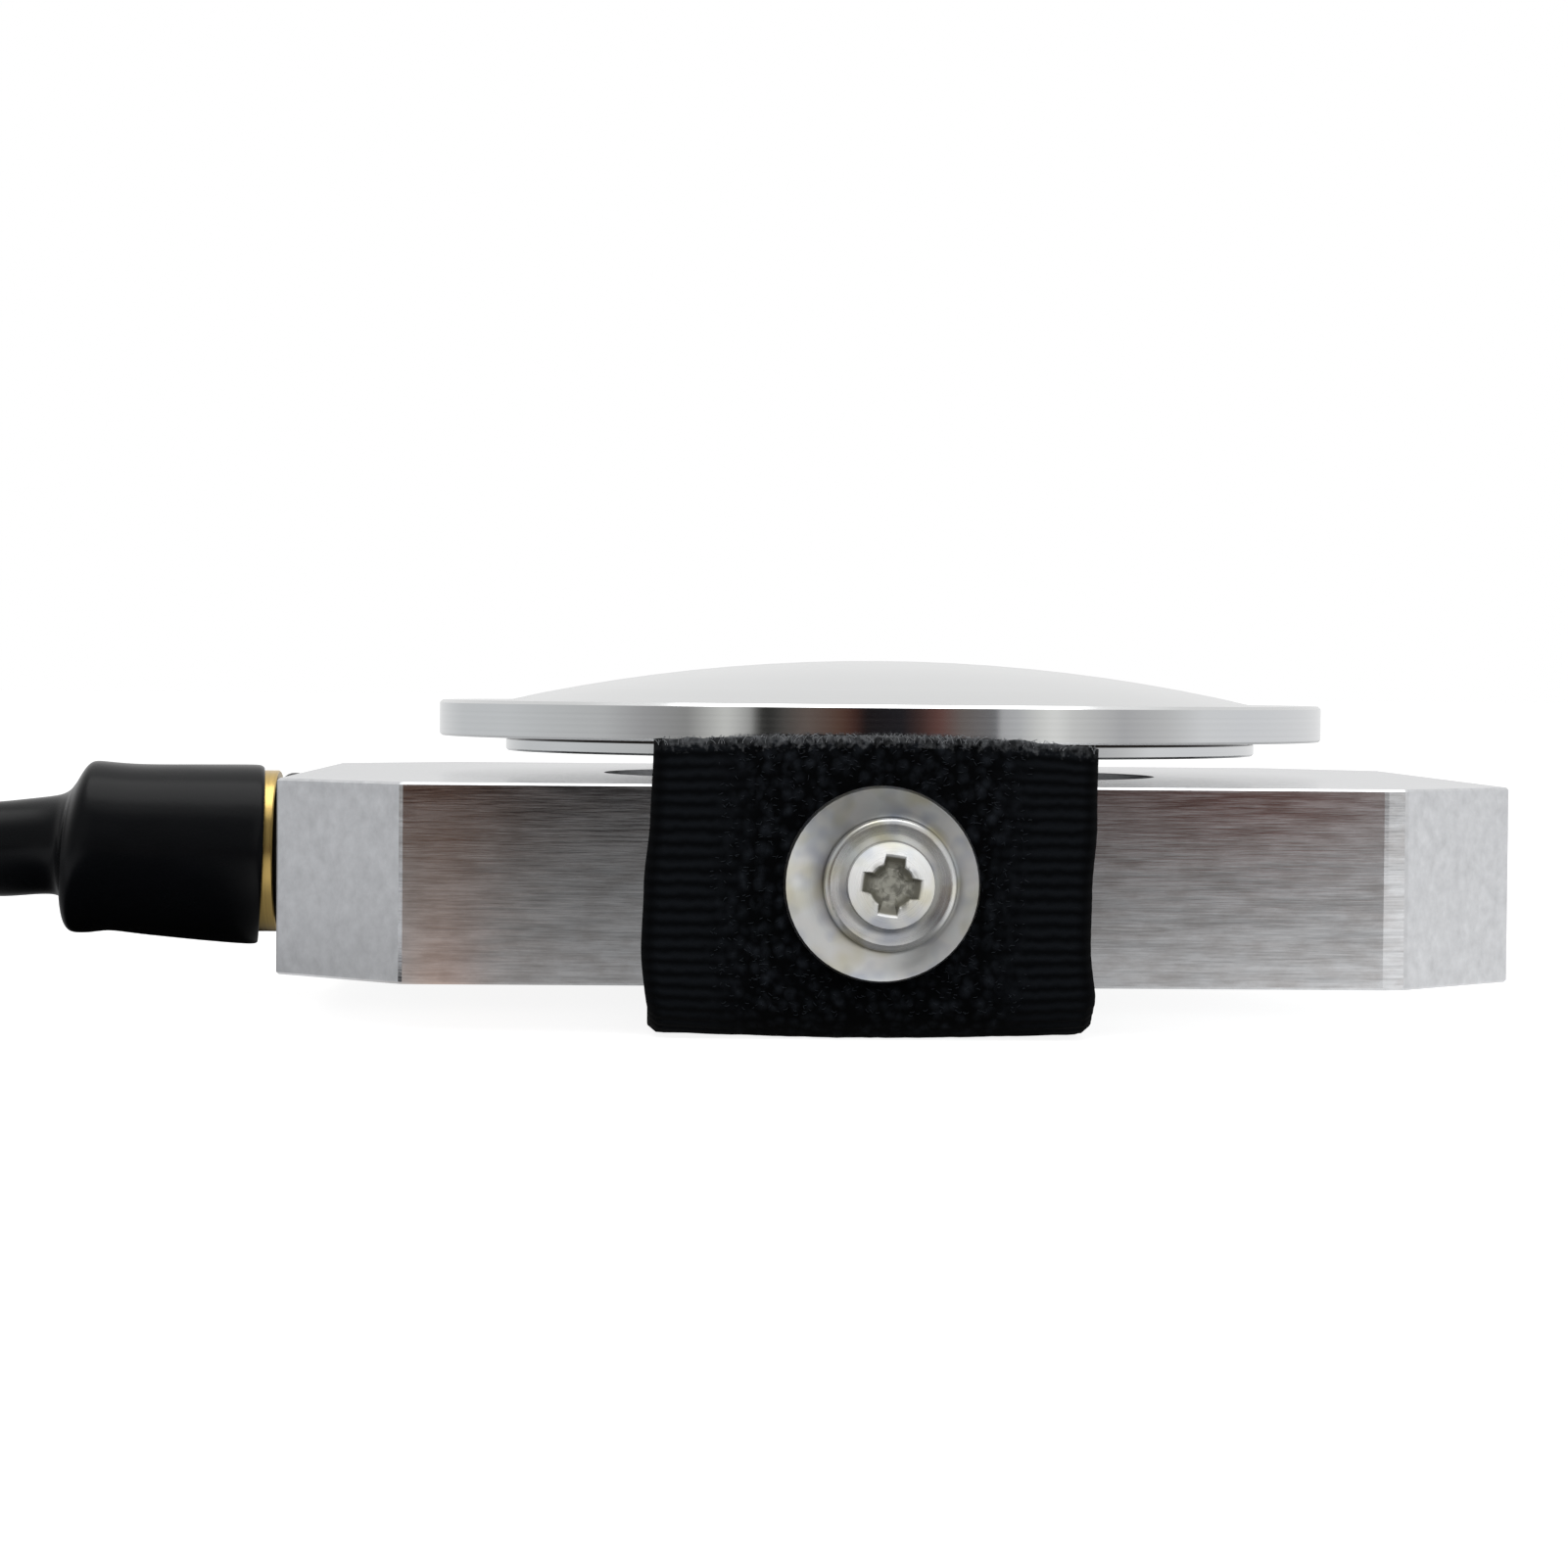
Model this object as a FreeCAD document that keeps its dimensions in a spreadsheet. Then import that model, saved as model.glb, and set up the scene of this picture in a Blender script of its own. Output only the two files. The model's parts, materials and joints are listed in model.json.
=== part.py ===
"""Brake pedal load cell: a flat aluminium force sensor that is strapped on a brake pedal.

A domed foot disc presses on a hub in the middle of an octagonal block. The hub hangs on a thin
web that carries the strain gauges. The cable leaves through a brass gland and a shrink boot, and
two lengths of hook-and-loop webbing, screwed to the front and the back, are folded under the block.

Millimetres, +Z up. The origin is under the middle of the block, on the surface that it lies on.
"""

import FreeCAD
import Part
import Sketcher

import math
import operator
import os

Vector = FreeCAD.Vector
Rotation = FreeCAD.Rotation

DRIVING_SIZES = {
    # block
    "block_length": 77.0,
    "block_width": 65.0,
    "block_height": 12.25,
    "block_corner": 8.0,
    "left_extra": 0.25,
    "filed_width": 1.05,
    "filed_depth": 0.25,
    "edge_break": 0.14,
    # sensing hub, web and gauge cavity
    "hub_radius": 8.0,
    "hub_drop": 8.5,
    "moat_radius": 18.8,
    "moat_depth": 2.8,
    "web_thick": 2.5,
    "cavity_radius": 20.6,
    "board_seat_radius": 22.0,
    "board_seat_depth": 3.0,
    "board_thick": 1.0,
    "board_hole_radius": 10.0,
    "cover_radius": 26.4,
    "cover_thick": 1.2,
    "gasket_thick": 0.3,
    "fit_gap": 0.05,
    # foot disc and load flange
    "neck_height": 1.5,
    "flange_radius": 25.5,
    "flange_thick": 1.0,
    "joint_groove": 0.25,
    "joint_groove_depth": 0.35,
    "spigot_radius": 20.0,
    "spigot_height": 1.5,
    "disc_radius": 30.0,
    "disc_rim": 2.4,
    "rim_edge": 0.2,
    "dome_radius": 25.4,
    "dome_rise": 2.85,
    # screws and pins
    "hub_screw_radius": 2.5,
    "hub_head_radius": 4.25,
    "hub_head_height": 3.5,
    "hub_head_proud": 0.5,
    "tip_room": 0.5,
    "dowel_radius": 1.0,
    "dowel_length": 3.8,
    "dowel_circle": 5.5,
    "cap_screw_radius": 1.5,
    "cap_head_radius": 2.75,
    "cap_screw_length": 4.3,
    "cap_hole_depth": 2.0,
    "cap_screw_circle": 14.0,
    "cover_screw_radius": 1.0,
    "cover_head_radius": 1.9,
    "cover_screw_length": 5.0,
    "cover_screw_circle": 24.2,
    "strap_screw_radius": 1.5,
    "strap_screw_length": 8.0,
    "strap_screw_shift": -0.9,
    "strap_screw_drop": 5.88,
    "pan_radius": 2.6,
    "pan_side": 1.1,
    "pan_height": 1.8,
    "recess_span": 4.5,
    "recess_width": 1.5,
    "recess_core": 1.6,
    "recess_depth": 1.2,
    # webbing and its washers
    "strap_width": 27.0,
    "strap_thick": 1.625,
    "strap_shift": -2.05,
    "strap_top": 18.5,
    "front_tail": 29.0,
    "rear_tail": 27.0,
    "rear_bend": 0.3,
    "cup_radius": 5.95,
    "cup_floor_radius": 3.4,
    "cup_hole_radius": 2.1,
    "cup_thick": 0.6,
    "cup_lip": 0.75,
    "cup_shift": -1.4,
    "washer_radius": 4.05,
    "washer_round": 0.4,
    "washer_floor_radius": 2.7,
    "washer_lift": 0.2,
    "washer_thick": 0.6,
    "washer_step": 0.2,
    # strain gauges, leads, board parts and cores
    "gauge_length": 5.0,
    "gauge_width": 4.0,
    "gauge_thick": 0.15,
    "gauge_circle": 14.3,
    "lead_radius": 0.18,
    "lead_circle": 12.8,
    "lead_spread": 1.2,
    "chip_length": 2.0,
    "chip_width": 1.25,
    "chip_thick": 0.45,
    "chip_circle": 16.0,
    "core_radius": 0.4,
    "core_pitch": 0.85,
    "core_drop": 0.85,
    "core_landing": 18.0,
    # gland, boot and cable
    "cable_axis": 9.95,
    "cable_radius": 2.25,
    "gland_thread_radius": 4.0,
    "gland_thread_length": 6.5,
    "gland_radius": 5.5,
    "gland_length": 13.5,
    "gland_edge": 0.16,
    "seal_thick": 2.15,
    "seal_round": 1.0,
    "grommet_radius": 3.6,
    "grommet_length": 7.0,
    "core_hole_radius": 2.0,
    "core_hole_end": 20.2,
    "brass_shown": 1.4,
    "boot_mouth_radius": 6.2,
    "boot_shoulder_radius": 5.95,
    "boot_shoulder": 11.7,
    "boot_neck_radius": 3.3,
    "boot_neck": 13.5,
    "boot_round": 0.8,
    "boot_end_radius": 3.2,
    "boot_length": 21.2,
    # put-away coil and its ties
    "coil_x": -109.8,
    "coil_y": 25.2,
    "coil_lift": 1.0,
    "coil_middle_radius": 27.0,
    "coil_columns": 4,
    "coil_layers": 3,
    "tie_width": 6.0,
    "tie_thick": 0.95,
    "tie_room": 0.1,
    "tie_inside_room": 0.45,
    # plug
    "plug_x": -85.8,
    "plug_y": 24.8,
    "plug_z": 20.5,
    "relief_start_radius": 2.9,
    "relief_end_radius": 3.9,
    "relief_length": 8.0,
    "grip_radius": 6.0,
    "grip_length": 18.0,
    "grip_edge": 0.7,
    "shell_radius": 4.5,
    "shell_thick": 0.4,
    "shell_length": 10.0,
    "shell_seat": 2.0,
    "shell_step": 0.2,
    "insert_length": 5.0,
    "pin_radius": 0.5,
    "pin_length": 9.0,
    "pin_circle": 2.6,
}

SCREW_COUNTS = {"cap": 3, "cover": 6}
CAP_SCREW_TURN = 30
COVER_SCREW_TURN = 15
GAUGE_COUNT = 4
DOWEL_COUNT = 2
CHIP_TURN = 45
PIN_ANGLES = (-90, -45, 0, 45, 90)
TIE_ANGLES = (165, 255)
CORE_NAMES = ("wire_red", "wire_black", "wire_green", "wire_white")

# Free cable: from the boot to the side of the coil, and from the top of the coil to the plug.
RUN_POINTS = [(-63.5, 0.0, 9.95), (-73.0, 0.0, 9.95), (-82.2, -3.0, 9.2), (-90.6, -8.0, 7.75)]
TAIL_POINTS = [
    (-133.4, 47.0, 16.8),
    (-122.0, 56.5, 17.1),
    (-107.3, 58.4, 18.0),
    (-93.8, 52.2, 19.4),
    (-85.8, 39.6, 20.5),
    (-85.8, 24.8, 20.5),
]
ARC_SHARE = 0.45
SOCKET_SHARE = 0.6
RECESS_TAPER = 0.45
RECESS_TURN = 8
CUT_PAST = 1
VOLUME_TOLERANCE = 0.01

OPERATORS = {"+": operator.add, "-": operator.sub, "*": operator.mul, "/": operator.truediv}
TOWARDS_LEFT = Rotation(Vector(0, 0, 1), Vector(-1, 0, 0))
TOWARDS_FRONT = Rotation(Vector(0, 0, 1), Vector(0, -1, 0))
TOWARDS_BACK = Rotation(Vector(0, 0, 1), Vector(0, 1, 0))
UPRIGHT = Rotation()

doc = FreeCAD.newDocument("brake_pedal_load_cell")


class Size:
    """A length, with the sheet expression that gives it."""

    def __init__(self, text, value):
        self.text = text
        self.value = value

    def __add__(self, other):
        return combined(self, "+", other)

    def __radd__(self, other):
        return combined(other, "+", self)

    def __sub__(self, other):
        return combined(self, "-", other)

    def __rsub__(self, other):
        return combined(other, "-", self)

    def __mul__(self, other):
        return combined(self, "*", other)

    def __truediv__(self, other):
        return combined(self, "/", other)

    def __neg__(self):
        return combined(0, "-", self)


def as_size(value):
    return value if isinstance(value, Size) else Size(repr(value), value)


def combined(left, sign, right):
    left = as_size(left)
    right = as_size(right)
    value = OPERATORS[sign](left.value, right.value)
    return Size(f"({left.text} {sign} {right.text})", value)


def make_sheet():
    """The sheet of driving sizes, and each size by its alias."""
    sheet = doc.addObject("Spreadsheet::Sheet", "Sizes")
    for row, (alias, value) in enumerate(DRIVING_SIZES.items(), start=1):
        sheet.set(f"A{row}", alias)
        sheet.set(f"B{row}", str(value))
        sheet.setAlias(f"B{row}", alias)
    doc.recompute()
    return {alias: Size(f"Sizes.{alias}", value) for alias, value in DRIVING_SIZES.items()}


S = make_sheet()

# Levels and places that follow from the driving sizes.
block_base = S["strap_thick"] * 2
block_top = block_base + S["block_height"]
block_front = -S["block_width"] / 2
block_end = -S["block_length"] / 2 - S["left_extra"]
moat_floor = block_top - S["moat_depth"]
web_under = moat_floor - S["web_thick"]
hub_under = block_top - S["hub_drop"]
cover_top = block_base + S["cover_thick"]
cover_seat = cover_top + S["gasket_thick"]
board_top = block_base + S["board_seat_depth"]
board_under = board_top - S["board_thick"]
hub_head_seat = hub_under + S["hub_head_height"] - S["hub_head_proud"]
flange_under = block_top + S["neck_height"]
disc_under = flange_under + S["flange_thick"]
spigot_top = disc_under + S["spigot_height"]
rim_top = disc_under + S["disc_rim"]
dome_top = rim_top + S["dome_rise"]
strap_screw_level = block_top - S["strap_screw_drop"]
gland_tip = block_end + S["gland_thread_length"]
gland_collar = S["gland_thread_length"] + S["seal_thick"]
gland_back = gland_collar + S["gland_length"] - S["seal_thick"]
boot_mouth = gland_collar + S["brass_shown"]
boot_back = boot_mouth + S["boot_length"]
core_level = S["cable_axis"] - S["core_drop"]
core_start = gland_tip - S["cable_radius"] / 2
coil_half = S["coil_columns"] * S["cable_radius"]
coil_inside = S["coil_middle_radius"] - coil_half
coil_outside = S["coil_middle_radius"] + coil_half
coil_top = S["coil_lift"] + S["coil_layers"] * S["cable_radius"] * 2
grip_back = S["relief_length"] + S["grip_length"]
shell_start = grip_back - S["shell_seat"]


def bind(thing, prop, size):
    thing.setExpression(prop, as_size(size).text)


def place(thing, at, turn=UPRIGHT):
    """Puts a piece at a point whose coordinates are bound to the sheet."""
    values = [as_size(coordinate) for coordinate in at]
    thing.Placement = FreeCAD.Placement(Vector(*[size.value for size in values]), turn)
    for letter, size in zip("xyz", values):
        bind(thing, f"Placement.Base.{letter}", size)
    return thing


def arc_centre(start, end, across):
    """The centre of the arc between two points, from its first coordinate."""
    sides = (start[0] - across) ** 2 - (end[0] - across) ** 2
    return across, (start[1] ** 2 - end[1] ** 2 + sides) / (2 * (start[1] - end[1]))


def add_side(sketch, start, end, centre):
    """One straight or round side; returns its index and the numbers of its two ends."""
    if centre is None:
        line = Part.LineSegment(Vector(*start, 0), Vector(*end, 0))
        return sketch.addGeometry(line), 1, 2
    first, last = (math.atan2(p[1] - centre[1], p[0] - centre[0]) for p in (start, end))
    forward = math.sin(last - first) > 0
    circle = Part.Circle(Vector(*centre, 0), Vector(0, 0, 1), math.dist(start, centre))
    limits = (first, last) if forward else (last, first)
    side = sketch.addGeometry(Part.ArcOfCircle(circle, *limits))
    return (side, 1, 2) if forward else (side, 2, 1)


def fix_point(sketch, side, end, point):
    """Binds one corner of a sketch to its two sizes."""
    for kind, axis, size in (("DistanceX", -2, point[0]), ("DistanceY", -1, point[1])):
        if size is None:
            continue
        if as_size(size).value == 0:
            sketch.addConstraint(Sketcher.Constraint("PointOnObject", side, end, axis))
            continue
        value = as_size(size).value
        number = sketch.addConstraint(Sketcher.Constraint(kind, -1, 1, side, end, value))
        bind(sketch, f"Constraints[{number}]", size)


def outline(body, plane, points, arcs=None):
    """A closed sketch through points; arcs gives the centre's first coordinate of a round side."""
    arcs = arcs or {}
    sketch = body.newObject("Sketcher::SketchObject", f"{body.Name}_outline")
    support = next(f for f in body.Origin.OriginFeatures if f.Role == plane)
    sketch.AttachmentSupport = [(support, "")]
    sketch.MapMode = "FlatFace"
    values = [tuple(as_size(coordinate).value for coordinate in point) for point in points]
    sides = []
    for index, start in enumerate(values):
        end = values[(index + 1) % len(values)]
        across = arcs.get(index)
        centre = None if across is None else arc_centre(start, end, as_size(across).value)
        sides.append(add_side(sketch, start, end, centre))
    for index, (side, start, _) in enumerate(sides):
        before, _, end = sides[index - 1]
        sketch.addConstraint(Sketcher.Constraint("Coincident", before, end, side, start))
        fix_point(sketch, side, start, points[index])
        if index in arcs:
            fix_point(sketch, side, 3, (arcs[index], None))
    return sketch


def turned(label, points, arcs=None):
    """A piece turned about its own Z axis, from (radius, height) points."""
    body = doc.addObject("PartDesign::Body", label)
    sketch = outline(body, "XZ_Plane", points, arcs)
    feature = body.newObject("PartDesign::Revolution", f"{label}_turned")
    feature.Profile = sketch
    feature.ReferenceAxis = (sketch, ["V_Axis"])
    feature.Angle = 360
    return body


def ring(label, inside, outside, low, high):
    return turned(label, [(inside, low), (outside, low), (outside, high), (inside, high)])


def folded(label, points, arcs, width):
    """A strip of the given width, from its section in the YZ plane."""
    body = doc.addObject("PartDesign::Body", label)
    sketch = outline(body, "YZ_Plane", points, arcs)
    feature = body.newObject("PartDesign::Pad", f"{label}_width")
    feature.Profile = sketch
    feature.Midplane = True
    bind(feature, "Length", width)
    return body


def cylinder(radius, length, at, turn=UPRIGHT):
    rod = doc.addObject("Part::Cylinder", "rod")
    bind(rod, "Radius", radius)
    bind(rod, "Height", length)
    return place(rod, at, turn)


def cone(low_radius, high_radius, length, at, turn=UPRIGHT):
    taper = doc.addObject("Part::Cone", "taper")
    bind(taper, "Radius1", low_radius)
    bind(taper, "Radius2", high_radius)
    bind(taper, "Height", length)
    return place(taper, at, turn)


def box(length, width, height, at, turn=UPRIGHT):
    block = doc.addObject("Part::Box", "box")
    bind(block, "Length", length)
    bind(block, "Width", width)
    bind(block, "Height", height)
    return place(block, at, turn)


def cut(label, base, tools):
    """The base with the tools taken out of it."""
    tool = tools[0]
    if len(tools) > 1:
        tool = doc.addObject("Part::MultiFuse", f"{label}_tools")
        tool.Shapes = tools
    result = doc.addObject("Part::Cut", label)
    result.Base = base
    result.Tool = tool
    return result


def group(label, members):
    """Identical pieces, kept as separate solids of one node."""
    compound = doc.addObject("Part::Compound", label)
    compound.Links = members
    return compound


def around(radius, degrees):
    """The place on a circle about Z, as sizes."""
    angle = math.radians(degrees)
    return radius * round(math.cos(angle), 6), radius * round(math.sin(angle), 6)


def evenly(count, start=0):
    return [start + 360 / count * number for number in range(count)]


def cable_path(points):
    """Straight runs with tangent arcs as large as the runs allow; returns the wire and the radii."""
    corners = [Vector(*point) for point in points]
    edges, radii, last = [], [], corners[0]
    for before, corner, after in zip(corners, corners[1:], corners[2:]):
        back, ahead = before - corner, after - corner
        shorter = min(back.Length, ahead.Length)
        half_turn = (math.pi - back.getAngle(ahead)) / 2
        radii.append(ARC_SHARE * shorter / math.tan(half_turn))
        reach = ARC_SHARE * shorter
        back.normalize()
        ahead.normalize()
        start, end = corner + back * reach, corner + ahead * reach
        inward = (back + ahead).normalize()
        depth = radii[-1] / math.cos(half_turn) - radii[-1]
        edges.append(Part.LineSegment(last, start).toShape())
        edges.append(Part.Arc(start, corner + inward * depth, end).toShape())
        last = end
    edges.append(Part.LineSegment(last, corners[-1]).toShape())
    return Part.Wire(edges), radii


def tube(label, points, radius):
    """A round lead along a path, with its volume compared with section times length."""
    path, radii = cable_path(points)
    direction = Vector(*points[1]) - Vector(*points[0])
    circle = Part.Wire(Part.Circle(Vector(*points[0]), direction, radius).toShape())
    solid = path.makePipeShell([circle], True, True)
    expected = math.pi * radius**2 * path.Length
    if abs(solid.Volume - expected) > VOLUME_TOLERANCE * expected:
        raise ValueError(f"{label}: volume {solid.Volume:.2f}, expected {expected:.2f}")
    print(label, "length", round(path.Length, 1), "radii", [round(r, 1) for r in radii])
    feature = doc.addObject("Part::Feature", label)
    feature.Shape = solid
    feature.Placement = FreeCAD.Placement()
    return feature


def hex_socket(across_radius, depth, at):
    prism = doc.addObject("Part::Prism", "socket")
    prism.Polygon = 6
    bind(prism, "Circumradius", across_radius)
    bind(prism, "Height", depth)
    return place(prism, at)


def make_block_blank():
    """The octagonal billet before drilling, every edge broken and the front right corner filed off."""
    body = doc.addObject("PartDesign::Body", "block_blank")
    x, y, corner = S["block_length"] / 2, S["block_width"] / 2, S["block_corner"]
    points = [
        (x, y - corner),
        (x - corner, y),
        (corner - x, y),
        (block_end, y - corner),
        (block_end, corner - y),
        (corner - x, -y),
        (x - corner - S["filed_width"], -y),
        (x - corner + S["filed_depth"], S["filed_depth"] - y),
        (x, corner - y),
    ]
    pad = body.newObject("PartDesign::Pad", "block_thickness")
    pad.Profile = outline(body, "XY_Plane", points)
    bind(pad, "Length", S["block_height"])
    doc.recompute()
    chamfer = body.newObject("PartDesign::Chamfer", "block_edges")
    chamfer.Base = (pad, [])
    chamfer.UseAllEdges = True
    bind(chamfer, "Size", S["edge_break"])
    return place(body, (0, 0, block_base))


def strap_screw_hole(side):
    """The tapped hole for a strap screw, in the front (-1) or the back (1) of the block."""
    turn = TOWARDS_BACK if side < 0 else TOWARDS_FRONT
    at = (S["strap_screw_shift"], S["block_width"] / 2 * side, strap_screw_level)
    radius = S["strap_screw_radius"] + S["fit_gap"] / 2
    return cylinder(radius, S["strap_screw_length"] + S["tip_room"], at, turn)


def make_body_block():
    seat = S["cover_radius"] + S["fit_gap"] * 2
    moat_profile = [
        (S["hub_radius"], moat_floor),
        (S["moat_radius"], moat_floor),
        (S["moat_radius"], block_top + CUT_PAST),
        (S["hub_radius"], block_top + CUT_PAST),
    ]
    cavity_profile = [
        (0, block_base - CUT_PAST),
        (seat, block_base - CUT_PAST),
        (seat, cover_seat),
        (S["board_seat_radius"], cover_seat),
        (S["board_seat_radius"], board_top),
        (S["cavity_radius"], board_top),
        (S["cavity_radius"], web_under),
        (S["hub_radius"], web_under),
        (S["hub_radius"], hub_under),
        (0, hub_under),
    ]
    gap = S["fit_gap"]
    hub_hole = (0, 0, hub_under - CUT_PAST)
    head_depth = hub_head_seat - hub_under + CUT_PAST
    gland_hole = (gland_tip, 0, S["cable_axis"])
    core_hole = (-S["core_hole_end"], 0, S["cable_axis"])
    core_hole_length = -S["core_hole_end"] - block_end
    tools = [
        turned("moat", moat_profile),
        turned("cavity", cavity_profile),
        cylinder(S["hub_screw_radius"] + gap, S["hub_drop"] + CUT_PAST * 2, hub_hole),
        cylinder(S["hub_head_radius"] + gap * 4, head_depth, hub_hole),
        cylinder(S["gland_thread_radius"], S["gland_thread_length"] + CUT_PAST, gland_hole, TOWARDS_LEFT),
        cylinder(S["core_hole_radius"], core_hole_length, core_hole, TOWARDS_LEFT),
        strap_screw_hole(-1),
        strap_screw_hole(1),
    ]
    dowel_depth = S["dowel_length"] / 2
    for angle in evenly(DOWEL_COUNT):
        x, y = around(S["dowel_circle"], angle)
        at = (x, y, block_top - dowel_depth)
        tools.append(cylinder(S["dowel_radius"], dowel_depth + CUT_PAST, at))
    for angle in evenly(SCREW_COUNTS["cover"], COVER_SCREW_TURN):
        x, y = around(S["cover_screw_circle"], angle)
        at = (x, y, cover_seat - CUT_PAST)
        tools.append(cylinder(S["cover_screw_radius"] + gap / 2, S["cover_screw_length"] + CUT_PAST, at))
    return cut("body_block", make_block_blank(), tools)


def make_load_flange():
    bore = S["hub_screw_radius"] + S["fit_gap"] / 2
    edge = S["edge_break"]
    profile = [
        (bore, block_top),
        (S["hub_radius"], block_top),
        (S["hub_radius"], flange_under),
        (S["flange_radius"] - edge, flange_under),
        (S["flange_radius"], flange_under + edge),
        (S["flange_radius"], disc_under - S["joint_groove"]),
        (S["flange_radius"] - S["joint_groove_depth"], disc_under - S["joint_groove"]),
        (S["flange_radius"] - S["joint_groove_depth"], disc_under),
        (S["spigot_radius"], disc_under),
        (S["spigot_radius"], spigot_top),
        (bore, spigot_top),
    ]
    tools = []
    head, shank = S["cap_head_radius"] + S["fit_gap"], S["cap_screw_radius"] + S["fit_gap"]
    for angle in evenly(SCREW_COUNTS["cap"], CAP_SCREW_TURN):
        x, y = around(S["cap_screw_circle"], angle)
        tools.append(cone(head, shank, head - shank, (x, y, flange_under)))
        tools.append(cylinder(shank, spigot_top - flange_under + CUT_PAST, (x, y, flange_under)))
    for angle in evenly(DOWEL_COUNT):
        x, y = around(S["dowel_circle"], angle)
        at = (x, y, block_top - CUT_PAST)
        tools.append(cylinder(S["dowel_radius"], S["dowel_length"] / 2 + CUT_PAST, at))
    return cut("load_flange", turned("flange_blank", profile), tools)


def make_foot_disc():
    edge, top_edge = S["edge_break"], S["rim_edge"]
    recess = S["spigot_radius"] + S["fit_gap"]
    ceiling = spigot_top + S["fit_gap"]
    profile = [
        (0, ceiling),
        (recess, ceiling),
        (recess, disc_under),
        (S["disc_radius"] - edge, disc_under),
        (S["disc_radius"], disc_under + edge),
        (S["disc_radius"], rim_top - top_edge),
        (S["disc_radius"] - top_edge, rim_top),
        (S["dome_radius"], rim_top),
        (0, dome_top),
    ]
    dome_side = len(profile) - 2
    tools = []
    depth = S["cap_hole_depth"] + CUT_PAST
    for angle in evenly(SCREW_COUNTS["cap"], CAP_SCREW_TURN):
        x, y = around(S["cap_screw_circle"], angle)
        at = (x, y, ceiling - CUT_PAST)
        tools.append(cylinder(S["cap_screw_radius"] + S["fit_gap"], depth, at))
    return cut("foot_disc", turned("disc_blank", profile, {dome_side: 0}), tools)


def countersunk(head_radius, radius, length, at):
    """A countersunk screw whose head points down, with a hexagon socket."""
    head = head_radius - radius
    profile = [(0, 0), (head_radius, 0), (radius, head), (radius, length), (0, length)]
    blank = place(turned("countersunk", profile), at)
    return cut("socket_screw", blank, [hex_socket(radius * SOCKET_SHARE, head, at)])


def make_cap_screws():
    screws = []
    for angle in evenly(SCREW_COUNTS["cap"], CAP_SCREW_TURN):
        x, y = around(S["cap_screw_circle"], angle)
        at = (x, y, flange_under + S["fit_gap"])
        sizes = S["cap_head_radius"], S["cap_screw_radius"], S["cap_screw_length"]
        screws.append(countersunk(*sizes, at))
    return group("cap_screws", screws)


def make_hub_screw():
    """Low-head socket screw; its head is under the hub."""
    radius, head, height = S["hub_screw_radius"], S["hub_head_radius"], S["hub_head_height"]
    length = spigot_top - hub_head_seat + height - S["tip_room"]
    at = (0, 0, hub_head_seat - height)
    profile = [(0, 0), (head, 0), (head, height), (radius, height), (radius, length), (0, length)]
    blank = place(turned("hub_screw_blank", profile), at)
    return cut("hub_screw", blank, [hex_socket(radius * SOCKET_SHARE, height * SOCKET_SHARE, at)])


def make_hub_dowels():
    pins = []
    for angle in evenly(DOWEL_COUNT):
        x, y = around(S["dowel_circle"], angle)
        at = (x, y, block_top - S["dowel_length"] / 2)
        pins.append(cylinder(S["dowel_radius"], S["dowel_length"], at))
    return group("hub_dowels", pins)


def make_bottom_cover():
    plate = cylinder(S["cover_radius"], S["cover_thick"], (0, 0, block_base))
    tools = []
    head, shank = S["cover_head_radius"] + S["fit_gap"], S["cover_screw_radius"] + S["fit_gap"]
    for angle in evenly(SCREW_COUNTS["cover"], COVER_SCREW_TURN):
        x, y = around(S["cover_screw_circle"], angle)
        tools.append(cone(head, shank, head - shank, (x, y, block_base)))
        tools.append(cylinder(shank, S["cover_thick"] + CUT_PAST, (x, y, block_base)))
    return cut("bottom_cover", plate, tools)


def make_cover_gasket():
    blank = ring("gasket_blank", S["board_seat_radius"], S["cover_radius"], cover_top, cover_seat)
    tools = []
    for angle in evenly(SCREW_COUNTS["cover"], COVER_SCREW_TURN):
        x, y = around(S["cover_screw_circle"], angle)
        at = (x, y, cover_top - CUT_PAST)
        tools.append(cylinder(S["cover_screw_radius"] + S["fit_gap"], CUT_PAST * 2, at))
    return cut("cover_gasket", blank, tools)


def make_cover_screws():
    screws = []
    for angle in evenly(SCREW_COUNTS["cover"], COVER_SCREW_TURN):
        x, y = around(S["cover_screw_circle"], angle)
        at = (x, y, block_base + S["fit_gap"])
        sizes = S["cover_head_radius"], S["cover_screw_radius"], S["cover_screw_length"]
        screws.append(countersunk(*sizes, at))
    return group("cover_screws", screws)


def make_gauges():
    """Four foil gauges under the web, and the two leads of each down to the board."""
    gauges, leads = [], []
    inner_end = S["gauge_circle"] - S["gauge_length"] / 2
    for angle in evenly(GAUGE_COUNT):
        turn = Rotation(Vector(0, 0, 1), angle)
        corner = turn.multVec(Vector(inner_end.value, -S["gauge_width"].value / 2, 0))
        at = (corner.x, corner.y, web_under - S["gauge_thick"])
        gauges.append(box(S["gauge_length"], S["gauge_width"], S["gauge_thick"], at, turn))
        for side in (-1, 1):
            spot = turn.multVec(Vector(S["lead_circle"].value, S["lead_spread"].value * side, 0))
            height = web_under - S["gauge_thick"] - board_top
            leads.append(cylinder(S["lead_radius"], height, (spot.x, spot.y, board_top)))
    return [group("strain_gauges", gauges), group("gauge_leads", leads)]


def make_bridge_board():
    outside = S["board_seat_radius"] - S["fit_gap"] * 2
    return ring("bridge_board", S["board_hole_radius"], outside, board_under, board_top)


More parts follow.
